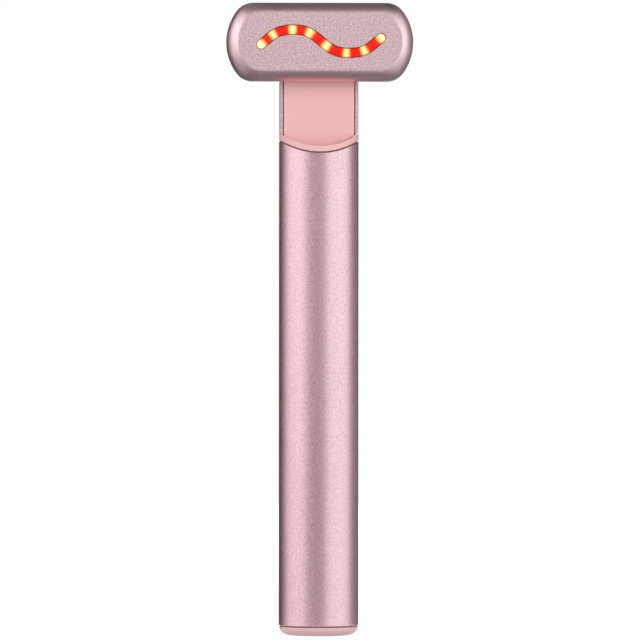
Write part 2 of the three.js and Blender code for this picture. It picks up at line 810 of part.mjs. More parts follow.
// Block with the head's outline, its edge rounded off towards the round end. Each rounding is
// a quarter of an ellipse, with its own width and depth at the ends and at the sides.
function headBlock(inset, flatEnd, roundEnd, rounds, steps) {
  const toEnd = Math.sign(roundEnd - flatEnd);
  const deepest = Math.max(...rounds.map(([, depth]) => depth));
  const ring = (drop) => {
    const insets = rounds.map(([width, depth]) => {
      const left = Math.max(1 - drop / depth, 0);
      return width * (1 - Math.sqrt(1 - left ** 2));
    });
    const y = roundEnd - toEnd * drop;
    return headSection(inset, insets).map((point) => new THREE.Vector3(point.x, y, point.y));
  };
  const rings = [ring(Math.abs(roundEnd - flatEnd))];
  for (let i = 0; i <= steps; i += 1) {
    rings.push(ring(deepest * (1 - Math.sin((i / steps) * (Math.PI / 2)))));
  }
  return loft(rings);
}

function headShell() {
  const rounds = [[headEndRound, headEndDepth], [headSideRound, headSideDepth]];
  const outer = headBlock(0, shellRimY, headFrontY, rounds, faceSteps);
  const inner = headBlock(headWall, shellRimY + overrun, faceInnerY, rounds, faceSteps);
  const slot = plate(waveBand(windowWidth), faceInnerY + overrun, headFrontY - overrun);
  return cut(outer, inner, slot);
}

function boardScrewPlaces() {
  const x = (screwPlaceShares[0] * headLength) / 2;
  const z = (screwPlaceShares[1] * headWidth) / 2;
  return [[x, -z], [-x, z]];
}

// Rear cover: rounded tray whose spigot seats in the front shell and carries the light board
function headBack() {
  const spigotEndY = ledBoardBackY + pressGap;
  const round = [backRound, backRound];
  const tray = headBlock(0, backRimY, headBackY, [round, round], arcSteps / 2);
  const spigot = plate(headPoints(spigotInset), backInnerY + backWall / 2, spigotEndY);
  const room = plate(headPoints(spigotInset + spigotWall), backInnerY, spigotEndY - overrun);
  const bossRadius = screwDiameter / 2 + bossWall;
  const boss = rodY(bossRadius, backInnerY + backWall / 2, spigotEndY, smallSides);
  const bosses = boardScrewPlaces().map(([x, z]) => boss.translate([x, 0, z]));
  const pilots = boardScrewPlaces().map(([x, z]) => screwHole(x, z, spigotEndY, backInnerY));
  const hubPilots = hubScrewPlaces().map(([x, z]) => screwHole(x, z, backInnerY, headBackY - pilotFloor));
  const shaftHole = rodY(shaftRadius + pressGap, headBackY + overrun, backInnerY - overrun, midSides);
  return cut(join(cut(join(tray, spigot), room), ...bosses), ...pilots, ...hubPilots, shaftHole);
}

// Thin seal that shows as a dark line between the head's two shells
function headGasket() {
  const [back, front] = [backRimY - pressGap / 2, shellRimY + pressGap / 2];
  const outer = plate(headPoints(gasketInset), back, front);
  return cut(outer, plate(headPoints(headWall), back + overrun, front - overrun));
}

// Wave across the middle of the head's face, with bends rounder than a sine wave's
class WaveCurve extends THREE.Curve {
  getPoint(t, target = new THREE.Vector3()) {
    const x = (t - 1 / 2) * waveSpan;
    const angle = (x / waveLength) * Math.PI * 2;
    const bend = Math.sin(angle) * (1 + waveFullnessShare * Math.cos(angle) ** 2);
    return target.set(x, -waveHeight * bend, 0);
  }
}

const wave = new WaveCurve();

// Band of even width along the wave, with round ends
function waveBand(width) {
  const radius = width / 2;
  const directionAt = (t) => {
    const tangent = wave.getTangent(t);
    return Math.atan2(tangent.y, tangent.x);
  };
  const side = (turn) => Array.from({ length: waveSteps + 1 }, (_, i) => {
    const t = i / waveSteps;
    const centre = wave.getPoint(t);
    const angle = directionAt(t) + turn;
    return new THREE.Vector2(centre.x + radius * Math.cos(angle), centre.y + radius * Math.sin(angle));
  });
  const quarter = Math.PI / 2;
  const [from, to] = [wave.getPoint(0), wave.getPoint(1)];
  const [start, finish] = [directionAt(0), directionAt(1)];
  return [
    ...side(-quarter),
    ...arcPoints(to.x, to.y, radius, finish - quarter, finish + quarter, arcSteps).slice(1, -1),
    ...side(quarter).reverse(),
    ...arcPoints(from.x, from.y, radius, start + quarter, start + 3 * quarter, arcSteps).slice(1, -1),
  ];
}

// Red lens: the wave-shaped window and a wider flange that bears on the back of the face
function lightWindow() {
  const rootY = lensFlangeY + lensFlange / 2;
  const front = plate(waveBand(windowWidth - 2 * windowGap), rootY, headFrontY + windowRecess);
  const flange = plate(waveBand(windowWidth + 2 * lensFlangeLip), lensBackY, lensFlangeY);
  return join(front, flange);
}

function ledBoard() {
  const board = plate(headPoints(ledBoardInset), ledBoardBackY, ledBoardFrontY);
  return cut(board, ...boardScrewPlaces().map(([x, z]) => (
    screwHole(x, z, ledBoardFrontY, ledBoardBackY + overrun)
  )));
}

function ledSolid(share) {
  const t = (1 + share) / 2;
  const centre = wave.getPoint(t);
  const tangent = wave.getTangent(t);
  const angle = Math.atan2(tangent.y, tangent.x);
  const outline = roundedRectangle(ledLength, ledWidth, ledLength / arcSteps).map((point) => (
    point.rotateAround(new THREE.Vector2(), angle).add(centre)
  ));
  return plate(outline, ledBackY, ledFrontY);
}

function springPlace() {
  return [(springPlaceShares[0] * headLength) / 2, (springPlaceShares[1] * headWidth) / 2];
}

// Flexible heater bonded behind the face, open along the wave and round the contact spring
function heaterFilm() {
  const front = faceInnerY + pressGap;
  const back = front + heaterThickness;
  const insets = [heaterShare * headEndRound, heaterShare * headSideRound];
  const outline = headSection(headWall + fitGap, insets);
  const sheet = plate(outline, back, front);
  const opening = waveBand(windowWidth + 2 * lensFlangeLip + 2 * fitGap);
  const [x, z] = springPlace();
  const [halfX, halfZ] = [springLength / 2 + fitGap, springWidth / 2 + fitGap];
  const ys = [front - overrun, back + overrun];
  const window = block([x - halfX, x + halfX], ys, [z - halfZ, z + halfZ]);
  return cut(sheet, plate(opening, back + overrun, front - overrun), window);
}

function thermistor() {
  const x = (thermistorPlaceShares[0] * waveSpan) / 2;
  const z = thermistorPlaceShares[1] * waveHeight;
  const front = faceInnerY + heaterThickness + 2 * pressGap;
  const outline = roundedRectangle(thermistorSize, thermistorSize, thermistorSize / arcSteps);
  return plate(outline, front + thermistorHeight, front).translate([x, 0, z]);
}

// Leaf that carries the current from the board to the metal face
function electrodeSpring() {
  const half = springLength / 2;
  const front = faceInnerY + pressGap;
  const foot = ledBoardFrontY - pressGap;
  const t = springThickness;
  const outline = [
    [-half, foot],
    [half, foot],
    [half, foot - t],
    [t - half, foot - t],
    [t - half, front + 2 * t],
    [2 * t - half, front + t],
    [half, front + t],
    [half, front],
    [t - half, front],
    [-half, front + t],
  ].map(([x, y]) => new THREE.Vector2(x, y));
  const [x, z] = springPlace();
  return prism(outline, -springWidth / 2, springWidth / 2).translate([x, 0, z]);
}

function headConnector() {
  const outline = roundedRectangle(connectorLength, connectorWidth, cableRadius / 4);
  return plate(outline, hubFrontY - fitGap, ledBoardBackY + pressGap);
}

// Lead from the head: along the pivot's axis through the hollow shaft, then down the neck
function headCable() {
  const back = cavityRadius - cableWallGap - cableRadius;
  const bend = back - shaftEndY;
  const down = plugRadius - plugWall - cableRadius - fitGap;
  const end = boardBackY + plugSocketDepth / 2 + pressGap;
  const socketTop = boardBottom + boardPlaceShares.cable * boardLength + plugSocketSize / 2;
  const points = [
    [hubFrontY, pivotHeight],
    [hubFrontY / 2, pivotHeight],
    [0, pivotHeight],
    [shaftEndY, pivotHeight],
    [back - bend / 4, pivotHeight - bend / 4],
    [back, pivotHeight - bend],
    [back, (pivotHeight + collarSideTop) / 2],
    [down, collarSideTop],
    [down, motorTop],
    [down, chassisTop + cableDiameter],
    [down, topBulkheadZ - cableRadius],
    [end, socketTop + cableDiameter],
    [end, socketTop + fitGap],
  ].map(([y, z]) => new THREE.Vector3(0, y, z));
  return cable(points, cableRadius, cableSteps);
}

// Carrier: open half tube with three bulkheads, board rails and the motor's trough
function innerChassis() {
  const edge = chassisWrap;
  const section = ringSector(chassisInner, chassisRadius, -edge, Math.PI + edge, midSides);
  const shell = prism(section, chassisBottom, chassisTop);
  const wallMiddle = (chassisInner + chassisRadius) / 2;
  const disc = (bottom) => rodZ(wallMiddle, bottom, bottom + bulkhead, midSides);
  const wireNotch = (bottom) => {
    const top = bottom + bulkhead + overrun;
    return rodZ(leadRadius + fitGap, bottom - overrun, top, smallSides).translate([leadX, leadY, 0]);
  };
  const half = tabWidth / 2 + fitGap;
  const slotTop = midBulkheadZ + bulkhead + overrun;
  const tabSlot = block([-half, half], [-tubeRadius, -cellRadius / 2], [midBulkheadZ - overrun, slotTop]);
  const hole = rodZ(cableRadius + fitGap, topBulkheadZ - overrun, chassisTop + overrun, smallSides);
  const cableHole = hole.translate([0, boreRadius - cableRadius - fitGap, 0]);
  const troughInner = bootRadius + fitGap;
  const troughOuter = troughInner + troughWall;
  const front = ringSector(troughInner, troughOuter, Math.PI + edge, 2 * Math.PI - edge, smallSides);
  const trough = prism(front, chassisTop - bulkhead / 2, chassisTop + troughHeight);
  const railOuter = boardWidth / 2 - railInset;
  const railBack = Math.sqrt(chassisInner ** 2 - railOuter ** 2) + chassisWall / 2;
  const railEnds = [midBulkheadZ + bulkhead / 2, topBulkheadZ + bulkhead / 2];
  const rails = [[-railOuter, railWidth - railOuter], [railOuter - railWidth, railOuter]].map((xs) => (
    block(xs, [boardBackY + pressGap, railBack], railEnds)
  ));
  const lower = cut(disc(lowerBulkheadZ), wireNotch(lowerBulkheadZ));
  const middle = cut(disc(midBulkheadZ), wireNotch(midBulkheadZ), tabSlot);
  const top = cut(disc(topBulkheadZ), cableHole);
  const socketHalf = plugSocketSize / 2 + fitGap;
  const socketZ = boardBottom + boardPlaceShares.cable * boardLength;
  const socketBack = boardBackY + plugSocketDepth + pressGap + fitGap;
  const socketRoom = block(
    [-socketHalf, socketHalf],
    [boardBackY, socketBack],
    [socketZ - socketHalf, socketZ + socketHalf],
  );
  return cut(join(shell, lower, middle, top, trough, ...rails), socketRoom);
}

function batteryCell() {
  const edge = arcPoints(cellRadius - cellEdge, 0, cellEdge, 0, Math.PI / 2, edgeSteps);
  const bottomEdge = edge.map(({ x, y }) => [x, cellBottom + cellEdge - y]).reverse();
  const topEdge = edge.map(({ x, y }) => [x, cellTop - cellEdge + y]);
  return turnedZ([
    [0, cellBottom],
    ...bottomEdge,
    ...topEdge,
    [cellNubDiameter / 2, cellTop],
    [cellNubDiameter / 2, cellTop + cellNub],
    [0, cellTop + cellNub],
  ], midSides);
}

// Nickel strip from the middle of one end of the cell out to its side
function batteryTab(endZ, outward) {
  const near = endZ + outward * pressGap;
  const far = near + outward * tabThickness;
  const half = tabWidth / 2;
  const reach = cellRadius - cellEdge;
  return block([-half, half], [-reach, cellNubDiameter / 2], [Math.min(near, far), Math.max(near, far)]);
}

function batteryPad() {
  const front = Math.PI * 1.5;
  const [from, to] = [front - padSpread, front + padSpread];
  const section = ringSector(cellRadius + fitGap, chassisRadius, from, to, smallSides);
  return prism(section, cellBottom + cellEdge, cellTop - cellEdge);
}

// Square piece soldered on the front of the main board, its place a share of the board's length
function onBoard(size, depth, x, share) {
  const z = boardBottom + share * boardLength;
  const face = boardDepth - pressGap;
  return plate(roundedRectangle(size, size, depth / arcSteps), face, face - depth).translate([x, 0, z]);
}

function mainBoard() {
  const half = boardWidth / 2;
  return block([-half, half], [boardDepth, boardBackY], [boardBottom, boardBottom + boardLength]);
}

function microcontroller() {
  return onBoard(chipSize, chipHeight, 0, boardPlaceShares.chip);
}

function powerInductor() {
  return onBoard(inductorSize, inductorHeight, (inductorSize - boardWidth) / 2, boardPlaceShares.inductor);
}

function chargeChip() {
  const x = boardWidth / 2 - chargeChipSize;
  return onBoard(chargeChipSize, chipHeight, x, boardPlaceShares.charge);
}

function leadSocket() {
  const x = (plugSocketSize - boardWidth) / 2;
  return onBoard(plugSocketSize, plugSocketDepth, x, boardPlaceShares.lead);
}

function storageCapacitor() {
  const z = boardBottom + boardPlaceShares.capacitor * boardLength;
  const half = capacitorLength / 2;
  const radius = capacitorDiameter / 2;
  const [x, y] = [boardWidth / 2 - radius, boardDepth - pressGap - radius];
  const brk = radius / 6;
  return turnedZ([
    [0, z - half],
    [radius, z - half],
    [radius, z + half - 3 * brk],
    [radius - brk, z + half - 2 * brk],
    [radius, z + half - brk],
    [radius - brk, z + half],
    [0, z + half],
  ], smallSides).translate([x, y, 0]);
}

function cableSocket() {
  const z = boardBottom + boardPlaceShares.cable * boardLength;
  const back = boardBackY + pressGap;
  const outline = roundedRectangle(plugSocketSize, plugSocketSize, plugSocketSize / arcSteps);
  return plate(outline, back + plugSocketDepth, back).translate([0, 0, z]);
}

// Bent leaf from the main board to the tube's wall
function gripContact() {
  const z = boardBottom + boardPlaceShares.contact * boardLength;
  const foot = boardDepth - pressGap;
  const touch = pressGap - Math.sqrt(tubeInner ** 2 - (contactWidth / 2) ** 2);
  const t = contactThickness;
  const rise = contactRise;
  const outline = [
    [foot, z - rise / 2],
    [foot, z + rise / 2],
    [foot - t, z + rise / 2],
    [foot - t, z - rise / 2 + 2 * t],
    [touch + 3 * t, z + rise / 4],
    [touch + t, z + rise / 2],
    [touch, z + rise / 2],
    [touch, z + rise / 4],
    [foot - 2 * t, z - rise / 2],
  ].map(([y, up]) => new THREE.Vector2(y, up));
  const settings = { depth: contactWidth, bevelEnabled: false };
  const geometry = new THREE.ExtrudeGeometry(new THREE.Shape(outline), settings);
  const upright = new THREE.Matrix4().makeBasis(
    new THREE.Vector3(0, 1, 0),
    new THREE.Vector3(0, 0, 1),
    new THREE.Vector3(1, 0, 0),
  );
  return solidOf(geometry.applyMatrix4(upright).translate(-contactWidth / 2, 0, 0));
}

// Lead from the base board up the side of the battery to the main board
function baseLead() {
  const socketZ = boardBottom + boardPlaceShares.lead * boardLength;
  const face = boardDepth - pressGap - plugSocketDepth - fitGap;
  const [x, y] = [-boardWidth / 2 + plugSocketSize / 2, face];
  const points = [
    [leadX, leadY, chassisBottom],
    [leadX, leadY, (chassisBottom + cellBottom) / 2],
    [leadX, leadY, cellBottom],
    [leadX, leadY, (cellBottom + cellTop) / 2],
    [leadX, leadY, cellTop],
    [leadX, leadY, midBulkheadZ + bulkhead],
    [(leadX + x) / 2, (leadY + y) / 2 - leadDiameter, socketZ - leadRadius],
    [x, y - leadDiameter, socketZ],
    [x, y, socketZ],
  ].map(([px, py, pz]) => new THREE.Vector3(px, py, pz));
  return cable(points, leadRadius, leadSteps);
}

function motorBoot() {
  return turnedZ([
    [0, bootBottom],
    [bootRadius, bootBottom],
    [bootRadius, bootBottom + bootHeight],
    [bootInner, bootBottom + bootHeight],
    [bootInner, motorBottom - pressGap],
    [0, motorBottom - pressGap],
  ], midSides);
}

function motorCan() {
  const boss = motorShaft;
  return turnedZ([
    [0, motorBottom],
    [motorRadius, motorBottom],
    [motorRadius, motorTop],
    [boss, motorTop],
    [boss, motorTop + motorBoss],
    [0, motorTop + motorBoss],
  ], midSides);
}

// Eccentric half-round weight on the motor's shaft
function motorWeight() {
  const outer = motorRadius - weightSetback;
  const half = ringSector(motorShaft / 4, outer, 0, Math.PI, smallSides);
  const hub = rodZ(motorShaft, weightBottom, weightBottom + weightLength, smallSides);
  return join(prism(half, weightBottom, weightBottom + weightLength), hub);
}

function baseBoard() {
  return rodZ(chassisRadius, baseBoardZ, baseBoardZ + baseBoardThickness, roundSides);
}

function tactSwitch() {
  const body = squarePrism(switchSize, switchBottom, switchTop);
  const depth = plungerLength - plungerReach + buttonTravel + runGap;
  const well = rodZ(plungerDiameter / 2 + runGap, switchBottom - overrun, switchBottom + depth, smallSides);
  return cut(body, well).translate([0, buttonY, 0]);
}

function switchPlunger() {
  const rod = rodZ(plungerDiameter / 2, plungerBottom, plungerBottom + plungerLength, smallSides);
  return rod.translate([0, buttonY, 0]);
}

// Dished button with a retaining flange inside the cap and a stem up to the switch
function powerButton() {
  const radius = buttonRadius;
  const face = buttonRecess;
  const flangeZ = capFloor + runGap;
  const flangeRadius = radius + buttonFlangeLip;
  return turnedZ([
    [0, face + buttonDish],
    [radius / 2, face + buttonDish / 2],
    [radius - buttonEdge, face],
    [radius - buttonEdge / 3, face + buttonEdge / 3],
    [radius, face + buttonEdge],
    [radius, flangeZ],
    [flangeRadius, flangeZ],
    [flangeRadius, flangeZ + buttonFlange],
    [buttonStem / 2, flangeZ + buttonFlange],
    [buttonStem / 2, plungerBottom - pressGap],
    [0, plungerBottom - pressGap],
  ], midSides).translate([0, buttonY, 0]);
}

// Base cap: rounded foot, floor with its openings, button guide and skirt inside the tube
function endCap() {
  const skirt = tubeInner - fitGap;
  const foot = Array.from({ length: arcSteps }, (_, i) => {
    const angle = (i / (arcSteps - 1)) * (Math.PI / 2);
    return [
      capFlatRadius + capRoundWidth * Math.sin(angle),
      capRoundHeight * (1 - Math.cos(angle)),
    ];
  });
  const floor = turnedZ([[0, 0], ...foot, [capRadius, capFlange], [0, capFlange]], roundSides);
  const grooveHalf = sealSection / 2 + pressGap;
  const wall = turnedZ([
    [capWallInner, capFloor],
    [skirt, capFloor],
    [skirt, capSealZ - grooveHalf],
    [sealGroove, capSealZ - grooveHalf],
    [sealGroove, capSealZ + grooveHalf],
    [skirt, capSealZ + grooveHalf],
    [skirt, capSkirtHeight],
    [capWallInner, capSkirtHeight],
    [capWallInner, capFloor],
  ], midSides);
  const hollow = rodZ(capWallInner, capFloor, capSkirtHeight + overrun, midSides);
  const guideInner = buttonRadius + buttonFlangeLip + runGap;
  const guideTop = capFloor + buttonGuideHeight;
  const guide = ringZ(guideInner, guideInner + buttonGuideWall, capFloor / 2, guideTop, midSides);
  const buttonHole = rodZ(buttonRadius + runGap, -overrun, capFloor + overrun, midSides);
  const socket = slotOutline(socketWidth + 2 * pressGap, socketHeight + 2 * pressGap, socketY);
  const above = capSkirtHeight + overrun;
  const lightHole = rodZ(lightPipeDiameter / 2 + pressGap, -overrun, above, smallSides);
  const ledRoom = squarePrism(statusLedSize + 2 * pressGap, switchTop - statusLedHeight - fitGap, above);
  const switchRoom = squarePrism(switchSize + 2 * pressGap, switchBottom - fitGap, above);
  return cut(
    join(cut(floor, hollow), wall, guide.translate([0, buttonY, 0])),
    buttonHole.translate([0, buttonY, 0]),
    prism(socket, -overrun, capSkirtHeight + overrun),
    switchRoom.translate([0, buttonY, 0]),
    lightPlace(lightHole),
    lightPlace(ledRoom),
  );
}

// Stamped shell of the charging socket, open downwards
function chargingShell() {
  const outer = prism(slotOutline(socketWidth, socketHeight, socketY), socketRecess, switchTop);
  const [width, height] = [socketWidth - 2 * socketWall, socketHeight - 2 * socketWall];
  const mouth = slotOutline(width, height, socketY);
  return cut(outer, prism(mouth, socketRecess - overrun, switchTop + overrun));
}

// Insulating tongue and root inside the socket's shell
function chargingTongue() {
  const [width, height] = [socketWidth - 2 * socketWall, socketHeight - 2 * socketWall];
  const rootOutline = slotOutline(width - 2 * pressGap, height - 2 * pressGap, socketY);
  const root = prism(rootOutline, switchTop - socketRoot, switchTop);
  const half = tongueWidth / 2;
  const thin = tongueHeight / 2;
  const ys = [socketY - thin, socketY + thin];
  const tongue = block([-half, half], ys, [tongueRecess, switchTop - socketRoot / 2]);
  return join(root, tongue);
}

// Moves a piece that is drawn about the tube's axis to the status light's place
function lightPlace(solid) {
  const [x, y] = lightPlaceShares.map((share) => share * capFlatRadius);
  return solid.translate([x, y, 0]);
}

function lightPipe() {
  const radius = lightPipeDiameter / 2;
  return lightPlace(rodZ(radius, buttonRecess, switchTop - statusLedHeight - fitGap, smallSides));
}

function statusLed() {
  return lightPlace(squarePrism(statusLedSize, switchTop - statusLedHeight, switchTop));
}

place('handle_tube', handleTube(), finishes.roseMetal);
place('neck_frame', neckFrame(), finishes.roseMetal);
place('neck_collar', neckCollar(), finishes.blushPlastic);
place('neck_cover', neckCover(), finishes.blushPlastic);
place('neck_seal', sealRing(neckSealZ), finishes.greyRubber);
place('end_cap', endCap(), finishes.blushPlastic);
place('end_cap_seal', sealRing(capSealZ), finishes.greyRubber);
place('power_button', powerButton(), finishes.blushPlastic);
place('switch_plunger', switchPlunger(), finishes.ivoryPlastic);
place('tact_switch', tactSwitch(), finishes.blackPlastic);
place('charging_shell', chargingShell(), finishes.steel);
place('charging_tongue', chargingTongue(), finishes.blackPlastic);
place('light_pipe', lightPipe(), finishes.clearPlastic);
place('status_led', statusLed(), finishes.paleLight);
place('base_board', baseBoard(), finishes.greenBoard);
place('base_lead', baseLead(), finishes.blackPlastic);

place('inner_chassis', innerChassis(), finishes.ivoryPlastic);
place('battery_cell', batteryCell(), finishes.blueWrap);
place('battery_tab_plus', batteryTab(cellTop + cellNub, 1), finishes.steel);
place('battery_tab_minus', batteryTab(cellBottom, -1), finishes.steel);
place('battery_pad', batteryPad(), finishes.greyFoam);
place('main_board', mainBoard(), finishes.greenBoard);
place('microcontroller', microcontroller(), finishes.blackPlastic);
place('power_inductor', powerInductor(), finishes.greyFoam);
place('storage_capacitor', storageCapacitor(), finishes.steel);
place('charge_chip', chargeChip(), finishes.blackPlastic);
place('lead_socket', leadSocket(), finishes.ivoryPlastic);
place('cable_socket', cableSocket(), finishes.ivoryPlastic);
place('grip_contact', gripContact(), finishes.brass);
place('motor_boot', motorBoot(), finishes.greyRubber);
place('motor_can', motorCan(), finishes.steel);
place('motor_weight', motorWeight(), finishes.brass);
place('head_cable', headCable(), finishes.blackPlastic);

place('swivel_bush', atPivot(swivelBush()), finishes.ivoryPlastic);
place('wave_washer', atPivot(waveWasher()), finishes.steel);
place('swivel_shaft', atPivot(swivelShaft()), finishes.steel);
place('stop_washer', atPivot(stopWasher()), finishes.steel);
place('retaining_clip', atPivot(retainingClip()), finishes.steel);
hubScrewPlaces().forEach(([x, z], i) => {
  place(`hub_screw_${i + 1}`, atPivot(screw(x, z, hubFrontY)), finishes.steel);
});

place('head_back', atPivot(headBack()), finishes.blushPlastic);
place('head_gasket', atPivot(headGasket()), finishes.greyRubber);
place('head_shell', atPivot(headShell()), finishes.roseMetal);
place('light_window', atPivot(lightWindow()), finishes.redLens);
place('heater_film', atPivot(heaterFilm()), finishes.amberFilm);
place('thermistor', atPivot(thermistor()), finishes.blackPlastic);
place('led_board', atPivot(ledBoard()), finishes.whiteBoard);
place('electrode_spring', atPivot(electrodeSpring()), finishes.brass);
place('head_connector', atPivot(headConnector()), finishes.ivoryPlastic);
boardScrewPlaces().forEach(([x, z], i) => {
  place(`board_screw_${i + 1}`, atPivot(screw(x, z, ledBoardFrontY)), finishes.steel);
});
ledPlaceShares.forEach((share, i) => {
  place(`led_${i + 1}`, atPivot(ledSolid(share)), finishes.paleLight);
});

export default assembly;
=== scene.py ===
import json
import math
import bmesh
import bpy
from mathutils import Matrix, Vector


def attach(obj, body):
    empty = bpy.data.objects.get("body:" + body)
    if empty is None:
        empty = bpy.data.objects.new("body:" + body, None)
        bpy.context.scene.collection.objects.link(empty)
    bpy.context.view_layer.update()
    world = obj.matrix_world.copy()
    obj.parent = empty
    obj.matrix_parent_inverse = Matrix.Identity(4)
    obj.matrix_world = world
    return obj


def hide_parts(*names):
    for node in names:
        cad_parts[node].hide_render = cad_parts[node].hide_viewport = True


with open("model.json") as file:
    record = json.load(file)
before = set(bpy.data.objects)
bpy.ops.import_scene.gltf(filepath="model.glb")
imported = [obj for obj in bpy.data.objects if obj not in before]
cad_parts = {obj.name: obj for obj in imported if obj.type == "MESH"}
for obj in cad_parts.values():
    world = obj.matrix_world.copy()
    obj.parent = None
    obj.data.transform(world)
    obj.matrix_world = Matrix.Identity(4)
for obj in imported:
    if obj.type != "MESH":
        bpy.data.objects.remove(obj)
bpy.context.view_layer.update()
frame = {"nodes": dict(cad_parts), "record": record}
mm = 0.001
print("frame loaded with", len(frame["nodes"]), "nodes")


# camera first, level with the middle of the wand and far off, so that it draws it almost flat
cameraView = {"distance": 1.52, "height": 0.07914, "aside": 0.00033, "lens": 340.2,
              "roll": -0.0007, "turn": 0.036}
camera = bpy.data.objects.new("camera", bpy.data.cameras.new("camera"))
camera.rotation_euler = (math.pi / 2, cameraView["roll"], -cameraView["turn"])
camera.location = Matrix.Rotation(-cameraView["turn"], 3, "Z") @ Vector(
    (cameraView["aside"], -cameraView["distance"], cameraView["height"]))
camera.data.lens = cameraView["lens"]
camera.data.clip_end = 20
bpy.context.scene.collection.objects.link(camera)
bpy.context.scene.camera = camera
bpy.context.scene.view_settings.view_transform = "Standard"


class Signal:  # an output socket that takes part in sums
    def __init__(self, shader, socket):
        self.shader = shader
        self.socket = socket

    def __add__(self, other):
        return self.shader.maths("ADD", self, other)

    def __sub__(self, other):
        return self.shader.maths("SUBTRACT", self, other)

    def __rsub__(self, other):
        return self.shader.maths("SUBTRACT", other, self)

    def __mul__(self, other):
        return self.shader.maths("MULTIPLY", self, other)

    def __truediv__(self, other):
        return self.shader.maths("DIVIDE", self, other)

    def __rpow__(self, other):
        return self.shader.maths("POWER", other, self)

    __radd__ = __add__
    __rmul__ = __mul__


class Shader:  # the node tree of one material, or of the world
    def __init__(self, owner):
        owner.use_nodes = True
        self.owner = owner
        self.tree = owner.node_tree
        self.tree.nodes.clear()

    def node(self, kind, settings=None, sockets=None, output=0):
        made = self.tree.nodes.new(kind)
        for key, value in (settings or {}).items():
            if key == "stops":
                ramp = made.color_ramp.elements
                while len(ramp) < len(value):
                    ramp.new(1)
                for stop, (position, colour) in zip(ramp, value):
                    stop.position = position
                    stop.color = colour
            else:
                setattr(made, key, value)
        for key, value in (sockets or {}).items():
            if isinstance(value, Signal):
                self.tree.links.new(value.socket, made.inputs[key])
            else:
                made.inputs[key].default_value = value
        return Signal(self, made.outputs[output]) if len(made.outputs) else None

    def maths(self, operation, *values):
        return self.node("ShaderNodeMath", {"operation": operation}, dict(enumerate(values)))

    def limit(self, value):
        return self.node("ShaderNodeClamp", {}, {"Value": value})

    def coordinates(self):
        return self.node("ShaderNodeTexCoord", {}, {}, "Object")

    def mapped(self, scale=(1, 1, 1), place=(0, 0, 0)):
        return self.node("ShaderNodeMapping", {}, {
            "Vector": self.coordinates(), "Location": place, "Scale": scale})

    def noise(self, scale, detail=2, vector=None):
        return self.node("ShaderNodeTexNoise", {}, {
            "Vector": vector or self.coordinates(), "Scale": scale, "Detail": detail})

    def ramp(self, value, stops):
        return self.node("ShaderNodeValToRGB", {"stops": stops}, {"Fac": value})

    def mix(self, share, first, second):  # by number, as the node has several sockets of one name
        return self.node("ShaderNodeMix", {"data_type": "RGBA"}, {0: share, 6: first, 7: second}, 2)

    def shades(self, share, colour, darker, lighter):
        return self.mix(share, shaded(colour, darker), shaded(colour, lighter))

    def bump(self, height, distance):
        return self.node("ShaderNodeBump", {}, {"Height": height, "Distance": distance})

    def surface(self, **inputs):
        names = {"colour": "Base Color", "roughness": "Roughness", "metallic": "Metallic",
                 "normal": "Normal", "coat": "Coat Weight", "coatRoughness": "Coat Roughness",
                 "glow": "Emission Color", "glowStrength": "Emission Strength",
                 "specular": "Specular IOR Level", "clear": "Transmission Weight"}
        made = self.node("ShaderNodeBsdfPrincipled", {}, {names[key]: inputs[key] for key in inputs})
        self.node("ShaderNodeOutputMaterial", {}, {"Surface": made})
        return self.owner


def newShader(name):
    return Shader(bpy.data.materials.new(name))


def tint(red, green, blue):  # a screen colour, 0 to 255, as light
    levels = [level / 255 for level in (red, green, blue)]
    return (*[((level + 0.055) / 1.055) ** 2.4 if level > 0.04 else level / 12.92 for level in levels], 1)


def shaded(colour, share):
    return (*[level * share for level in colour[:3]], 1)


# plated, blasted metal: a sparkle under half a millimetre wide in colour, gloss and relief
platedLook = {
    "grain": 2500, "contrast": 2.6, "channels": (1, 1.7, 1.5),  # the sparkle is weakest in red
    "drift": 55, "driftShare": 0.12, "driftShade": 0.93, "grainGloss": 0.16, "driftGloss": 0.05,
    "polishShare": 0.85, "coat": 0.2, "coatRoughness": 0.3,
}


# polished: smoother and deeper in colour behind a level, as on the rounding round a blasted face
def platedMetal(name, colour, roughness, sparkle, relief=0.014, polished=None):
    shader, look = newShader(name), platedLook
    grain = shader.noise(look["grain"], detail=1)
    drift = shader.noise(look["drift"], detail=3)
    level = shader.limit((grain - 0.5) * look["contrast"] + 0.5)
    pale = [min(part * (1 + sparkle * boost), 1) for part, boost in zip(colour, look["channels"])]
    deep = [part * (1 - sparkle * boost) for part, boost in zip(colour, look["channels"])]
    colours = shader.mix(level, (*deep, 1), (*pale, 1))
    softer = shader.mix(drift * look["driftShare"], colours, shaded(colour, look["driftShade"]))
    gloss = (grain - 0.5) * look["grainGloss"] + (drift - 0.5) * look["driftGloss"] + roughness
    if polished:
        depth = shader.node("ShaderNodeSeparateXYZ", {}, {0: shader.coordinates()}, "Y")
        behind = shader.limit((depth - polished["from"] * mm) / (polished["width"] * mm))
        gloss = gloss - behind * polished["gloss"]
        deeper = shader.mix(look["polishShare"], softer, polished["colour"])
        softer = shader.mix(behind, softer, deeper)
    return shader.surface(
        colour=softer, metallic=1.0, roughness=gloss, normal=shader.bump(grain, relief * mm),
        coat=look["coat"], coatRoughness=look["coatRoughness"])


# moulded plastic with a faint spark-eroded texture and a slightly uneven gloss
plasticLook = {"grain": 2600, "cloud": 90, "shades": (0.975, 1.02), "cloudGloss": 0.1,
               "grainGloss": 0.06, "coatRoughness": 0.2}


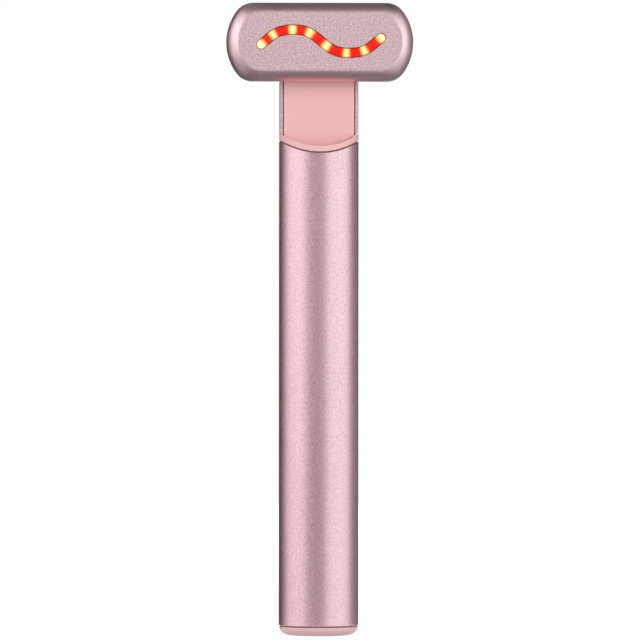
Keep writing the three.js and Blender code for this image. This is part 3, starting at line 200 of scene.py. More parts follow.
def mouldedPlastic(name, colour, roughness, relief=0.004, coat=0.0):
    shader, look = newShader(name), plasticLook
    grain = shader.noise(look["grain"])
    cloud = shader.noise(look["cloud"], detail=3)
    gloss = (cloud - 0.5) * look["cloudGloss"] + (grain - 0.5) * look["grainGloss"] + roughness
    return shader.surface(
        colour=shader.shades(cloud, colour, *look["shades"]), roughness=gloss,
        normal=shader.bump(grain, relief * mm), coat=coat, coatRoughness=look["coatRoughness"])


# drawn or turned metal: fine streaks along the vertical
streakLook = {"lines": 2200, "stretch": (1, 1, 0.05), "cloud": 140, "shades": (0.86, 1.08),
              "lineGloss": 0.2, "cloudGloss": 0.08, "relief": 0.003}


def streakedMetal(name, colour, roughness):
    shader, look = newShader(name), streakLook
    lines = shader.noise(look["lines"], detail=3, vector=shader.mapped(look["stretch"]))
    cloud = shader.noise(look["cloud"])
    gloss = (lines - 0.5) * look["lineGloss"] + cloud * look["cloudGloss"] + roughness
    return shader.surface(
        colour=shader.shades(lines, colour, *look["shades"]), metallic=1.0, roughness=gloss,
        normal=shader.bump(lines, look["relief"] * mm))


# rubber or dense foam: matt, with small pits
softLook = {"dust": 500, "shades": (0.8, 1.15), "dustGloss": 0.15, "roughness": 0.65}


def softCompound(name, colour, pitScale, relief):
    shader, look = newShader(name), softLook
    pits = shader.node("ShaderNodeTexVoronoi", {}, {"Vector": shader.coordinates(), "Scale": pitScale})
    dust = shader.noise(look["dust"], detail=4)
    return shader.surface(
        colour=shader.shades(dust, colour, *look["shades"]),
        roughness=dust * look["dustGloss"] + look["roughness"], normal=shader.bump(pits, relief * mm))


# solder mask over copper tracks, which show as slightly raised lighter lines
boardLook = {"place": (0.0003, 0, 0.0004), "tracks": 420, "trackWidth": 0.03, "trackShare": 0.6,
             "weave": 1800, "shades": (0.85, 1), "weaveGloss": 0.12, "roughness": 0.32,
             "raised": (0.7, 0.1), "relief": 0.02}


def circuitBoard(name, mask, track):
    shader, look = newShader(name), boardLook
    lattice = shader.node("ShaderNodeTexBrick", {"offset": 0.5}, {
        "Vector": shader.mapped((1, 1, 1), look["place"]), "Scale": look["tracks"],
        "Mortar Size": look["trackWidth"]}, "Fac")
    weave = shader.noise(look["weave"])
    ground = shader.shades(weave, mask, *look["shades"])
    trackRelief, weaveRelief = look["raised"]
    return shader.surface(
        colour=shader.mix(lattice * look["trackShare"], ground, track),
        roughness=weave * look["weaveGloss"] + look["roughness"],
        normal=shader.bump(lattice * trackRelief + weave * weaveRelief, look["relief"] * mm))


# wrapped or clear film with soft ripples
filmLook = {"ripple": 320, "shades": (0.88, 1.06), "rippleGloss": 0.1, "relief": 0.02}


def glossyFilm(name, colour, roughness, clear=0.0):
    shader, look = newShader(name), filmLook
    ripple = shader.noise(look["ripple"])
    return shader.surface(
        colour=shader.shades(ripple, colour, *look["shades"]),
        roughness=ripple * look["rippleGloss"] + roughness,
        normal=shader.bump(ripple, look["relief"] * mm), clear=clear)


# lit diode with a faintly mottled phosphor
diodeLook = {"phosphor": 2500, "shades": (0.8, 1), "roughness": 0.35, "strength": 1.0}


def glowingDiode(name, colour):
    shader, look = newShader(name), diodeLook
    colours = shader.shades(shader.noise(look["phosphor"]), colour, *look["shades"])
    return shader.surface(
        colour=colours, roughness=look["roughness"], glow=colours, glowStrength=look["strength"])


headSizes = {
    "halfLength": 23.43, "halfWidth": 9.8, "endRadius": 13, "cornerRadius": 5,
    "front": 10, "rim": 3.9, "rearRim": 3.6, "back": 2, "wall": 1, "backWall": 1.2,
    # width, depth and power, at the ends and then the sides: 2 is a quarter ellipse, less a crisper ridge
    "faceRounds": ((3.05, 5.2, 1.4), (3.0, 3.0, 1.9)), "innerRounds": ((4.7, 5.2, 2), (2.4, 2.6, 2)),
    "backRounds": ((0.9, 0.9, 2), (0.9, 0.9, 2)), "offset": (0.07, 0.11),
    "waveHeight": 2.9, "waveLength": 28, "fullness": 0.3, "waveHalf": 15, "waveCentre": (0.22, 0.14),
    "slotWidth": 2.5, "slotEdge": 0.14, "lensGap": 0.12, "lensEdge": 0.28,
    "lensFront": 9.8, "lensFlange": 8.7, "lensBack": 7.9, "flangeLip": 1,
    "spigotInset": 1.6, "roomInset": 2.35, "spigotDepth": 5.7, "shaftHole": 3.413,
    "postRadius": 1.6, "post": (17.39, -4.257),  # and one the other way round
}


# red lens: pale where a light stands behind it, orange round that and deep red between
lensLight = {
    "centres": (-15.3, -11.95, -7.15, -2.92, 1.33, 6.3, 10.72, 15.25),  # along the wave
    "brightness": (1.2, 0.86, 0.94, 0.93, 0.9, 0.87, 0.9, 1.05),
    "widths": (1.12, 0.86, 1.1, 1.04, 0.94, 1.02, 0.92, 1.1),
    "stops": ((0, tint(226, 18, 16)), (0.2, tint(214, 44, 14)), (0.38, tint(232, 122, 50)),
              (0.62, tint(255, 216, 122)), (0.82, tint(255, 250, 166)), (1, tint(255, 255, 214))),
    "fade": 0.09, "cloud": 700, "cloudShare": 0.03,  # dimmer off the middle line, and slightly uneven
    "rim": (0.96, 1.1), "rimShare": 0.85, "rimColour": tint(84, 40, 10),  # where the glow fades at the edge
    "body": (tint(120, 6, 8), tint(150, 60, 30)), "roughness": 0.16, "levelGloss": 0.1,
    "strength": 0.95, "specular": 0.18,
}


def litLens(name):
    shader, look = newShader(name), lensLight
    strip = shader.node("ShaderNodeUVMap", {"uv_map": "alongWave"})
    along, across = [shader.node("ShaderNodeSeparateXYZ", {}, {0: strip}, axis) for axis in "XY"]
    light = 0
    for centre, brightness, width in zip(look["centres"], look["brightness"], look["widths"]):
        away = (along - centre) / width
        light = math.e ** (away * away * -1) * brightness + light
    past = shader.maths("MAXIMUM", shader.maths("ABSOLUTE", along) - headSizes["waveHalf"], 0)
    aside = shader.maths("SQRT", past * past + across * across)
    inner, outer = look["rim"]
    rim = shader.limit((aside - inner) / (outer - inner))
    cloud = shader.noise(look["cloud"]) * look["cloudShare"]
    level = shader.limit(light * (1 - across * across * look["fade"]) + cloud)
    glow = shader.mix(rim * look["rimShare"], shader.ramp(level, look["stops"]), look["rimColour"])
    return shader.surface(
        colour=shader.mix(level, *look["body"]), roughness=level * look["levelGloss"] + look["roughness"],
        glow=glow, glowStrength=look["strength"], specular=look["specular"])


finishes = {
    "rose_metal": platedMetal("roseMetal", (0.73, 0.445, 0.5), 0.37, 0.13),
    "blush_plastic": mouldedPlastic("blushPlastic", (0.84, 0.49, 0.50), 0.42),
    "red_lens": litLens("redLens"),
    "light": glowingDiode("diode", (1.0, 0.93, 0.55)),
    "white_board": circuitBoard("whiteBoard", (0.8, 0.8, 0.76), (0.62, 0.62, 0.58, 1)),
    "green_board": circuitBoard("greenBoard", (0.02, 0.12, 0.05), (0.05, 0.22, 0.1, 1)),
    "black_plastic": mouldedPlastic("blackPlastic", (0.016, 0.016, 0.018), 0.4, 0.01),
    "black_jacket": softCompound("cableJacket", (0.016, 0.016, 0.018), 900, 0.01),
    "ivory_plastic": mouldedPlastic("ivoryPlastic", (0.71, 0.68, 0.6), 0.5, 0.01),
    "clear_plastic": glossyFilm("clearPlastic", (0.8, 0.84, 0.86), 0.1, 0.6),
    "steel": streakedMetal("steel", (0.48, 0.5, 0.53), 0.3),
    "brass": streakedMetal("brass", (0.58, 0.38, 0.08), 0.28),
    "blue_wrap": glossyFilm("shrinkWrap", (0.03, 0.11, 0.32), 0.25),
    "amber_film": glossyFilm("amberFilm", (0.53, 0.2, 0.02), 0.2),
    "grey_rubber": softCompound("greyRubber", (0.15, 0.13, 0.14), 1200, 0.008),
    "grey_foam": softCompound("greyFoam", (0.26, 0.26, 0.26), 1600, 0.08),
}
headPolish = {"from": -9.985, "width": 0.08, "gloss": 0.24, "colour": (0.78, 0.505, 0.565, 1)}
ownFinishes = {
    "head": platedMetal("headMetal", (0.965, 0.622, 0.69), 0.62, 0.19, 0.024, headPolish),
    "neck": platedMetal("neckMetal", (0.86, 0.585, 0.635), 0.55, 0.14),
    "cap": mouldedPlastic("capPlastic", (0.8, 0.51, 0.53), 0.34, coat=0.35),
    # seam: dark colour for the rings in the joint lines, painted shade in those gaps
    "seam": softCompound("paintedSeamShade", (0.27, 0.11, 0.12), 1200, 0.008),
}
print("materials made:", len(finishes) + len(ownFinishes))


weld = 0.0005  # points closer than this become one
onPlane = 0.01  # an edge this close to a level lies on it
facetDepth = 0.05  # how far the facets of a cylinder may cut into it
arcGap = 0.1  # room between pieces that meet along the hollow arc

# steps of full rounds, and of other curves
facets = {"pin": 32, "guide": 48, "ring": 64, "hole": 72, "bore": 96, "button": 96, "cap": 128}
arcSteps = {"hollowArc": 96, "neckFoot": 48, "neckTop": 64, "headCorner": 12, "headEnd": 32, "slotEnd": 20,
            "wave": 80, "capRound": 16, "buttonRound": 6, "buttonDish": 8, "guideTip": 8}


# a face in the ground plane, its edge drawn as straight moves (x, y) and arcs (x, y, degrees, steps)
def outline(start, *moves):
    bm = bmesh.new()
    first = pen = bm.verts.new((*start, 0))
    for move in moves:
        if len(move) == 2:
            corner = bm.verts.new((*move, 0))
            bm.edges.new((pen, corner))
            pen = corner
        else:
            x, y, angle, steps = move
            swept = bmesh.ops.spin(bm, geom=[pen], cent=(x, y, 0), axis=(0, 0, 1),
                                   angle=math.radians(angle), steps=steps)
            pen = next(item for item in swept["geom_last"] if isinstance(item, bmesh.types.BMVert))
    if (pen.co - first.co).length > 2 * weld:
        bm.edges.new((pen, first))
    bmesh.ops.remove_doubles(bm, verts=bm.verts[:], dist=weld)
    bmesh.ops.contextual_create(bm, geom=bm.edges[:])
    return bm


def thicken(bm, low, high):  # a flat face becomes a slab between two levels
    bmesh.ops.translate(bm, vec=(0, 0, low), verts=bm.verts[:])
    swept = bmesh.ops.extrude_face_region(bm, geom=bm.faces[:])
    top = [item for item in swept["geom"] if isinstance(item, bmesh.types.BMVert)]
    bmesh.ops.translate(bm, vec=(0, 0, high - low), verts=top)
    bmesh.ops.recalc_face_normals(bm, faces=bm.faces[:])
    return bm


def turned(points, sides, closed=True):  # a profile (radius, height) spun about the vertical
    bm = bmesh.new()
    line = [bm.verts.new((radius, 0, height)) for radius, height in points]
    following = line[1:] + line[:1] if closed else line[1:]
    edges = [bm.edges.new(pair) for pair in zip(line, following)]
    bmesh.ops.spin(bm, geom=line + edges, cent=(0, 0, 0), axis=(0, 0, 1),
                   angle=math.tau, steps=sides, use_merge=True)
    bmesh.ops.remove_doubles(bm, verts=bm.verts[:], dist=weld)
    bmesh.ops.recalc_face_normals(bm, faces=bm.faces[:])
    return bm


def solidTurned(points, sides):  # the same, closed by the vertical axis itself
    return turned(points, sides, False)


def drum(radius, low, high, sides):  # solid round bar from level to level
    return solidTurned([(0, low), (radius, low), (radius, high), (0, high)], sides)


def rounding(start, width, low, height, steps):  # quarter of an ellipse, outwards and up, for a profile
    angles = [i * math.pi / (2 * steps) for i in range(steps + 1)]
    return [(start + width * math.sin(angle), low + height * (1 - math.cos(angle))) for angle in angles]


def cuboid(low, high):
    bm = bmesh.new()
    bmesh.ops.create_cube(bm, size=1)
    bmesh.ops.scale(bm, vec=Vector(high) - Vector(low), verts=bm.verts[:])
    bmesh.ops.translate(bm, vec=(Vector(low) + Vector(high)) / 2, verts=bm.verts[:])
    return bm


def moved(bm, vector):
    bmesh.ops.translate(bm, vec=vector, verts=bm.verts[:])
    return bm


def stoodUp(bm, height=0):  # from lying face up to standing face forward
    bmesh.ops.rotate(bm, cent=(0, 0, 0), matrix=Matrix.Rotation(math.pi / 2, 3, "X"), verts=bm.verts[:])
    return moved(bm, (0, 0, height))


def objectOf(bm, name):
    mesh = bpy.data.meshes.new(name)
    bm.to_mesh(mesh)
    bm.free()
    made = bpy.data.objects.new(name, mesh)
    bpy.context.scene.collection.objects.link(made)
    return made


def combined(bm, operation, *others):  # exact Boolean with each of the others in turn
    base = objectOf(bm, "base")
    tools = [objectOf(other, "tool") for other in others]
    for tool in tools:
        modifier = base.modifiers.new("boolean", "BOOLEAN")
        modifier.operation = operation
        modifier.solver = "EXACT"
        modifier.object = tool
    evaluated = base.evaluated_get(bpy.context.evaluated_depsgraph_get())
    result = bpy.data.meshes.new_from_object(evaluated)
    made = bmesh.new()
    made.from_mesh(result)
    bmesh.ops.remove_doubles(made, verts=made.verts[:], dist=weld)
    bpy.data.meshes.remove(result)
    for item in [base, *tools]:
        mesh = item.data
        bpy.data.objects.remove(item)
        bpy.data.meshes.remove(mesh)
    return made


def joined(bm, *others):
    return combined(bm, "UNION", *others)


def cutBy(bm, *others):
    return combined(bm, "DIFFERENCE", *others)


def common(bm, *others):
    return combined(bm, "INTERSECT", *others)


cornerAngle = 0.9  # radians between two faces, more than on any curve
creaseAngle = 38  # degrees, from which the shading breaks


def easedEdges(bm, width, chosen, segments=3):  # a small round on the corners that a test picks
    bm.edges.ensure_lookup_table()
    bm.normal_update()
    corners = [edge for edge in bm.edges
               if len(edge.link_faces) == 2 and edge.calc_face_angle() > cornerAngle and chosen(edge)]
    bmesh.ops.bevel(bm, geom=corners, offset=width, segments=segments, profile=0.5,
                    affect="EDGES", material=-1, clamp_overlap=True)
    return bm


def middle(edge):
    return (edge.verts[0].co + edge.verts[1].co) / 2


def outwards(edge):  # distance from the vertical axis
    return math.hypot(*middle(edge).xy)


def onLevel(level):  # test for edges that lie in a plane
    return lambda edge: abs(middle(edge).z - level) < onPlane


def onRadius(radius):  # test for edges that lie round the outside
    return lambda edge: outwards(edge) > radius - facetDepth


def finished(bm, name, body, slot, replaced=(), material=None):
    bmesh.ops.scale(bm, vec=(mm, mm, mm), verts=bm.verts[:])
    piece = objectOf(bm, name)
    piece.data.shade_smooth()
    piece.data.set_sharp_from_angle(angle=math.radians(creaseAngle))
    piece.data.materials.append(material or finishes[slot])
    weighting = piece.modifiers.new("flatFaces", "WEIGHTED_NORMAL")
    weighting.keep_sharp = True
    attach(piece, body)
    if replaced:
        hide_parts(*replaced)
    return piece


# handle: a drawn tube whose upper end follows the hollow arc
tubeSizes = {"radius": 10, "wall": 1, "bottom": 2.5, "arcHeight": 138.6, "arcRadius": 17.65,
             "edge": 0.18, "sides": 144}


def arcLevel(x, radius):  # height of the hollow arc above the ground
    return tubeSizes["arcHeight"] - math.sqrt(radius ** 2 - x ** 2)


def makeTube():
    outer, low = tubeSizes["radius"], tubeSizes["bottom"]
    inner, top = outer - tubeSizes["wall"], tubeSizes["arcHeight"]
    bm = turned([(inner, low), (outer, low), (outer, top), (inner, top)], tubeSizes["sides"])
    for vert in bm.verts:
        if vert.co.z > low + 1:
            vert.co.z = arcLevel(vert.co.x, tubeSizes["arcRadius"])
    easedEdges(bm, tubeSizes["edge"], onRadius(outer), segments=4)
    return finished(bm, "handleTube", "handle", "rose_metal", ["handle_tube"])


makeTube()
print("handle tube made")


# neck: collar, domed column with a flat front, and the inlaid front panel
neckSizes = {
    "pivot": 148.6, "radius": 9.95, "flat": 1.7, "shelf": 0.2, "wall": 1.2, "sides": 144,
    "coreRadius": 8.55, "coreTop": 126.1, "coreGap": 0.3,
    "boreRadius": 7.0, "boreBottom": 100, "boreTop": 127,
    "plugRadius": 8.7, "plugBottom": 106.25, "plugTop": 126,
    "sealHeight": 113.25, "sealHalf": 0.7, "sealRadius": 7.6,
    "collarBottom": 119.5, "collarTop": 134, "collarArc": 17.35, "collarEdge": 0.12, "roomFront": 0.5,
    "ledgeArc": 16, "rebateHalf": 9.112, "rebateFront": 14,
    "panelHalf": 8.832, "panelBack": 0.5, "panelArc": 15.9, "panelEdge": 0.2,
    "hubHole": 4.613, "bossRadius": 5.713, "bossBack": -0.7, "bossLap": 0.4,
    "shadeRingInner": 8.75, "shadeRingOuter": 9.72, "shadeRingLap": 0.02,  # the dark ring between tube and collar, painted shade in the joint gap
}
beyond = 12  # half the width of blocks that cut right through the neck
through = 9  # length of bores that pass right through a wall


def aboveArc(radius):  # everything over the hollow arc
    centre, top = tubeSizes["arcHeight"], neckSizes["pivot"] + neckSizes["radius"] + 1
    face = outline((-radius, top), (-radius, centre), (0, centre, 180, arcSteps["hollowArc"]), (radius, top))
    return stoodUp(thicken(face, -beyond, beyond))


def behindShelf(low, high):
    return cuboid((-beyond, -neckSizes["shelf"], low), (beyond, beyond, high))


def neckFace(half, arc):  # lying outline of the neck's front, round at the pivot and hollow below
    turn = math.degrees(math.asin(half / arc))
    centre, pivot = tubeSizes["arcHeight"], neckSizes["pivot"]
    start = (-half, centre - arc * math.cos(math.radians(turn)))
    return outline(start, (0, centre, 2 * turn, arcSteps["neckFoot"]), (half, pivot),
                   (0, pivot, 180, arcSteps["neckTop"]))


def dome(radius):  # profile of the neck's round top
    steps = arcSteps["neckTop"]
    angles = [i * math.pi / steps for i in range(steps // 2 + 1)]
    return [(radius * math.cos(angle), neckSizes["pivot"] + radius * math.sin(angle)) for angle in angles]


def makeCollar():
    sizes = neckSizes
    low, top = sizes["collarBottom"], sizes["collarTop"]
    disc = drum(tubeSizes["radius"], low, top, sizes["sides"])
    band = cutBy(common(disc, aboveArc(sizes["collarArc"])), aboveArc(sizes["ledgeArc"]))
    core = drum(sizes["coreRadius"] + sizes["coreGap"], low - 1, top + 1, sizes["sides"])
    room = common(core, cuboid((-beyond, -sizes["roomFront"], low - 2), (beyond, beyond, top + 2)))
    band = cutBy(band, room)
    easedEdges(band, sizes["collarEdge"], onRadius(tubeSizes["radius"]))
    return finished(band, "neckCollar", "handle", "blush_plastic", ["neck_collar"])


def makeNeck():
    sizes = neckSizes
    low, radius, seal = sizes["collarBottom"], sizes["radius"], sizes["sealRadius"]
    foot, top = sizes["boreBottom"], sizes["pivot"] + 2 * radius
    inner, plugRadius = radius - sizes["wall"], sizes["plugRadius"]
    column = solidTurned([(0, low), (radius, low)] + dome(radius), sizes["sides"])
    column = cutBy(common(column, aboveArc(sizes["ledgeArc"] - arcGap)),
                   cuboid((-beyond, -beyond - 1, foot), (beyond, -sizes["flat"], top)))
    core = drum(sizes["coreRadius"], low, sizes["coreTop"], sizes["sides"])
    core = common(core, behindShelf(foot, top))
    sealLow, sealHigh = sizes["sealHeight"] - sizes["sealHalf"], sizes["sealHeight"] + sizes["sealHalf"]
    plug = solidTurned([
        (0, sizes["plugBottom"]), (plugRadius, sizes["plugBottom"]), (plugRadius, sealLow), (seal, sealLow),
        (seal, sealHigh), (plugRadius, sealHigh), (plugRadius, sizes["plugTop"]), (0, sizes["plugTop"])],
        sizes["sides"])
    plug = cutBy(plug, aboveArc(sizes["collarArc"] + arcGap))
    body = joined(column, core, plug)
    face = neckFace(sizes["rebateHalf"], sizes["ledgeArc"])
    rebate = stoodUp(thicken(face, sizes["shelf"], sizes["rebateFront"]))
    cavity = solidTurned([(0, sizes["coreTop"]), (inner, sizes["coreTop"])] + dome(inner), facets["bore"])
    bore = drum(sizes["boreRadius"], foot, low, facets["bore"])
    throat = drum(sizes["boreRadius"], low - 0.5, sizes["boreTop"], facets["bore"])
    throat = common(throat, behindShelf(foot, top))
    body = cutBy(body, rebate, cavity, bore, throat)
    return finished(body, "neckColumn", "handle", "rose_metal", ["neck_frame"], ownFinishes["neck"])


def makePanel():
    sizes = neckSizes
    hub, boss = sizes["hubHole"], sizes["bossRadius"]
    back, front = sizes["bossBack"], sizes["panelBack"] + sizes["bossLap"]
    bm = thicken(neckFace(sizes["panelHalf"], sizes["panelArc"]), sizes["panelBack"], sizes["flat"])
    easedEdges(bm, sizes["panelEdge"], onLevel(sizes["flat"]), segments=4)
    bm = cutBy(bm, moved(drum(hub, 0, through, facets["hole"]), (0, sizes["pivot"], 0)))
    ring = turned([(hub, back), (boss, back), (boss, front), (hub, front)], facets["hole"])
    bm = joined(bm, moved(ring, (0, sizes["pivot"], 0)))
    return finished(stoodUp(bm), "neckPanel", "handle", "blush_plastic", ["neck_cover"])


def makeSeamShadeRing():  # dark ring in the joint line between tube and collar: painted shade where the gap shows
    sizes = neckSizes
    low, top, lap = sizes["collarBottom"] - 0.5, sizes["collarTop"], sizes["shadeRingLap"]
    inner, outer = sizes["shadeRingInner"], sizes["shadeRingOuter"]
    ring = turned([(inner, low), (outer, low), (outer, top), (inner, top)], sizes["sides"])
    bm = cutBy(common(ring, aboveArc(tubeSizes["arcRadius"] - lap)), aboveArc(sizes["collarArc"] + lap))
    return finished(bm, "seamShadeRing", "handle", "grey_rubber", (), ownFinishes["seam"])


makeCollar()
makeNeck()
makePanel()
makeSeamShadeRing()
print("neck made")


# head: front shell with a rounding that is wider at its ends, rear cover and wave-shaped lens
def headOutline(inset):  # round ends blended into straight sides by smaller corners
    end, corner = headSizes["endRadius"], headSizes["cornerRadius"]
    endX, cornerY = headSizes["halfLength"] - end, headSizes["halfWidth"] - corner
    cornerX = endX + math.sqrt((end - corner) ** 2 - cornerY ** 2)
    lean = math.degrees(math.atan2(cornerY, cornerX - endX))
    reach = cornerY + corner - inset
    fine, coarse = arcSteps["headEnd"], arcSteps["headCorner"]
    return outline((cornerX, -reach), (cornerX, -cornerY, 90 - lean, coarse), (endX, 0, 2 * lean, fine),
                   (cornerX, cornerY, 90 - lean, coarse), (-cornerX, reach),
                   (-cornerX, cornerY, 90 - lean, coarse), (-endX, 0, 2 * lean, fine),
                   (-cornerX, -cornerY, 90 - lean, coarse))


# slab of the head's outline whose far edge is drawn in along quarter ellipses, or flatter curves
def headSlab(inset, near, far, rounds, steps=24):
    bm = moved(headOutline(inset), (0, 0, near))
    face, level, spread = bm.faces[:][0], near, (1, 1)
    half = (headSizes["halfLength"] - inset, headSizes["halfWidth"] - inset)
    deepest = max(depth for width, depth, power in rounds)
    for i in range(steps + 1):
        drop = deepest * (1 - math.sin(i / steps * math.pi / 2))
        nextLevel = far - math.copysign(drop, far - near)
        nextSpread = []
        for (width, depth, power), reach in zip(rounds, half):
            left = max(1 - drop / depth, 0)
            nextSpread.append(1 - width * (1 - (1 - left ** 2) ** (1 / power)) / reach)
        growth = (nextSpread[0] / spread[0], nextSpread[1] / spread[1], 1)
        swept = bmesh.ops.extrude_face_region(bm, geom=[face])
        if i:
            bmesh.ops.delete(bm, geom=[face], context="FACES_ONLY")
        face = next(item for item in swept["geom"] if isinstance(item, bmesh.types.BMFace))
        bmesh.ops.translate(bm, vec=(0, 0, nextLevel - level), verts=face.verts[:])
        bmesh.ops.scale(bm, vec=growth, verts=face.verts[:])
        level, spread = nextLevel, nextSpread
    bmesh.ops.recalc_face_normals(bm, faces=bm.faces[:])
    return moved(bm, (*headSizes["offset"], 0))


def wavePlace(x):  # height and direction of the wave, whose bends are rounder than a sine wave's
    height, pace = headSizes["waveHeight"], math.tau / headSizes["waveLength"]
    fullness = headSizes["fullness"]
    rise, run = math.sin(pace * x), math.cos(pace * x)
    slope = run * (1 + fullness * run ** 2 - 2 * fullness * rise ** 2)
    return -height * rise * (1 + fullness * run ** 2), Vector((1, -height * pace * slope)).normalized()


def waveStrip(width, low, high, edge=0):  # a straight slot's slab, bent along the wave
    half, radius, steps = headSizes["waveHalf"], width / 2, arcSteps["slotEnd"]
    bm = outline((-half, -radius), (half, -radius), (half, 0, 180, steps),
                 (-half, radius), (-half, 0, 180, steps))
    long = [item for item in bm.edges if item.calc_length() > half]
    bmesh.ops.subdivide_edges(bm, edges=long, cuts=arcSteps["wave"] - 1)
    thicken(bm, low, high)
    if edge:
        easedEdges(bm, edge, onLevel(high), segments=4)
    strip = bm.loops.layers.uv.new("alongWave")
    for face in bm.faces:
        for loop in face.loops:
            loop[strip].uv = loop.vert.co.xy
    for vert in bm.verts:
        x = max(-half, min(half, vert.co.x))
        level, along = wavePlace(x)
        past, aside = vert.co.x - x, vert.co.y
        vert.co.x = x + along.x * past - along.y * aside
        vert.co.y = level + along.y * past + along.x * aside
    return moved(bm, (*headSizes["waveCentre"], 0))


def inHead(bm, name, slot, replaced, material=None):
    return finished(stoodUp(bm, neckSizes["pivot"]), name, "head", slot, replaced, material)


def makeHeadShell():
    sizes = headSizes
    rim, front, wall = sizes["rim"], sizes["front"], sizes["wall"]
    outer = headSlab(0, rim, front, sizes["faceRounds"])
    inner = headSlab(wall, rim - 1, front - wall, sizes["innerRounds"])
    slot = waveStrip(sizes["slotWidth"], front - 3 * wall, front + wall)
    bm = cutBy(outer, inner, slot)
    easedEdges(bm, sizes["slotEdge"], onLevel(front), segments=2)
    return inHead(bm, "headShell", "rose_metal", ["head_shell"], ownFinishes["head"])


def makeHeadCover():
    sizes = headSizes
    floor, tip = sizes["back"] + sizes["backWall"], sizes["spigotDepth"]
    tray = headSlab(0, sizes["rearRim"], sizes["back"], sizes["backRounds"], steps=8)
    spigot = thicken(headOutline(sizes["spigotInset"]), sizes["rearRim"] - 0.5, tip)
    room = thicken(headOutline(sizes["roomInset"]), floor, tip + 1)
    x, y = sizes["post"]
    posts = [moved(drum(sizes["postRadius"], sizes["back"] + sizes["backWall"] / 2, tip, facets["pin"]),
                   (side * x, side * y, 0)) for side in (-1, 1)]
    shaft = drum(sizes["shaftHole"], 0, through, facets["hole"])
    bm = cutBy(joined(cutBy(joined(tray, spigot), room), *posts), shaft)
    return inHead(bm, "headCover", "blush_plastic", ["head_back"])


def makeLens():
    sizes = headSizes
    width, lip = sizes["slotWidth"] - 2 * sizes["lensGap"], sizes["slotWidth"] + 2 * sizes["flangeLip"]
    bm = waveStrip(width, sizes["lensFlange"], sizes["lensFront"], sizes["lensEdge"])
    flange = objectOf(waveStrip(lip, sizes["lensBack"], sizes["lensFlange"]), "flange")
    bm.from_mesh(flange.data)
    bpy.data.objects.remove(flange)
    return inHead(bm, "waveLens", "red_lens", ["light_window"])


makeHeadShell()
makeHeadCover()
makeLens()
print("head made")


# base: cap, button, charging socket with its tongue and contacts, and the light guide
baseSizes = {
    "radius": 9.85, "flat": 7.05, "roundHeight": 2.0, "flange": 2.2, "skirt": 8.7, "top": 9.2,
    "inner": 6.4, "floor": 1.6, "sealLow": 5.0, "sealHigh": 6.4, "sealRadius": 7.6, "edge": 0.16,
    "guideInner": 3.4, "guideOuter": 4.0, "guideTop": 4.2,
    # the ring in the joint with the tube is dark, painted shade in that gap
    "shadeRingInner": 8.75, "shadeRingOuter": 9.72, "shadeRingLow": 2.22, "shadeRingHigh": 2.48,
    "clearance": 0.2, "boardHeight": 9.4,  # round the button and the socket; where the socket ends
}
buttonSizes = {
    "y": -2.961, "radius": 2.5, "recess": 0.2, "dishShare": 0.86, "dishDepth": 0.15, "edge": 0.35,
    "flangeWidth": 0.7, "flangeLow": 1.8, "flangeHigh": 2.6, "stemRadius": 1.2, "stemTop": 6.8,
}
socketSizes = {
    "y": 3.243, "length": 8.9, "width": 3.2, "wall": 0.3, "bottom": 0.6, "edge": 0.1,
    "rootBottom": 6.8, "rootGap": 0.2, "tongueLength": 6.6, "tongueHeight": 0.7, "tongueBottom": 1.6,
    "tongueTop": 8.1, "tongueEdge": 0.15, "contacts": 6, "contactPitch": 0.95,
    "contactSize": (0.42, 0.05, 3.6), "contactMiddle": 2.2, "contactRise": 0.02, "contactEdge": 0.012,
}
guideSizes = {"place": (4.935, -1.692, 0), "radius": 0.55, "hole": 0.65, "tip": 0.12,
              "tipHeight": 0.18, "top": 8.4}


def slotFace(length, width, y):
    half, radius = (length - width) / 2, width / 2
    low, high, steps = y - radius, y + radius, arcSteps["slotEnd"]
    return outline((-half, low), (half, low), (half, y, 180, steps), (-half, high), (-half, y, 180, steps))


def makeBaseCap():
    sizes, button, socket = baseSizes, buttonSizes, socketSizes
    radius, flat, skirt, inner = sizes["radius"], sizes["flat"], sizes["skirt"], sizes["inner"]
    low, high, seal = sizes["sealLow"], sizes["sealHigh"], sizes["sealRadius"]
    foot = rounding(flat, radius - flat, 0, sizes["roundHeight"], arcSteps["capRound"])
    bm = solidTurned([(0, 0)] + foot + [
        (radius, sizes["flange"]), (skirt, sizes["flange"]), (skirt, low), (seal, low), (seal, high),
        (skirt, high), (skirt, sizes["top"]), (inner, sizes["top"]), (inner, sizes["floor"]),
        (0, sizes["floor"])], facets["cap"])
    near, wide, top = sizes["guideInner"], sizes["guideOuter"], sizes["guideTop"]
    guide = turned([(near, 1), (wide, 1), (wide, top), (near, top)], facets["ring"])
    bm = joined(bm, moved(guide, (0, button["y"], 0)))
    gap = sizes["clearance"]
    buttonHole = moved(drum(button["radius"] + gap, -1, through, facets["hole"]), (0, button["y"], 0))
    lightHole = moved(drum(guideSizes["hole"], -1, through, facets["pin"]), guideSizes["place"])
    socketHole = thicken(slotFace(socket["length"] + gap, socket["width"] + gap, socket["y"]), -1, through)
    bm = cutBy(bm, buttonHole, lightHole, socketHole)
    easedEdges(bm, sizes["edge"], lambda edge: onLevel(0)(edge) and not onRadius(flat)(edge))
    return finished(bm, "baseCap", "handle", "blush_plastic", ["end_cap"], ownFinishes["cap"])


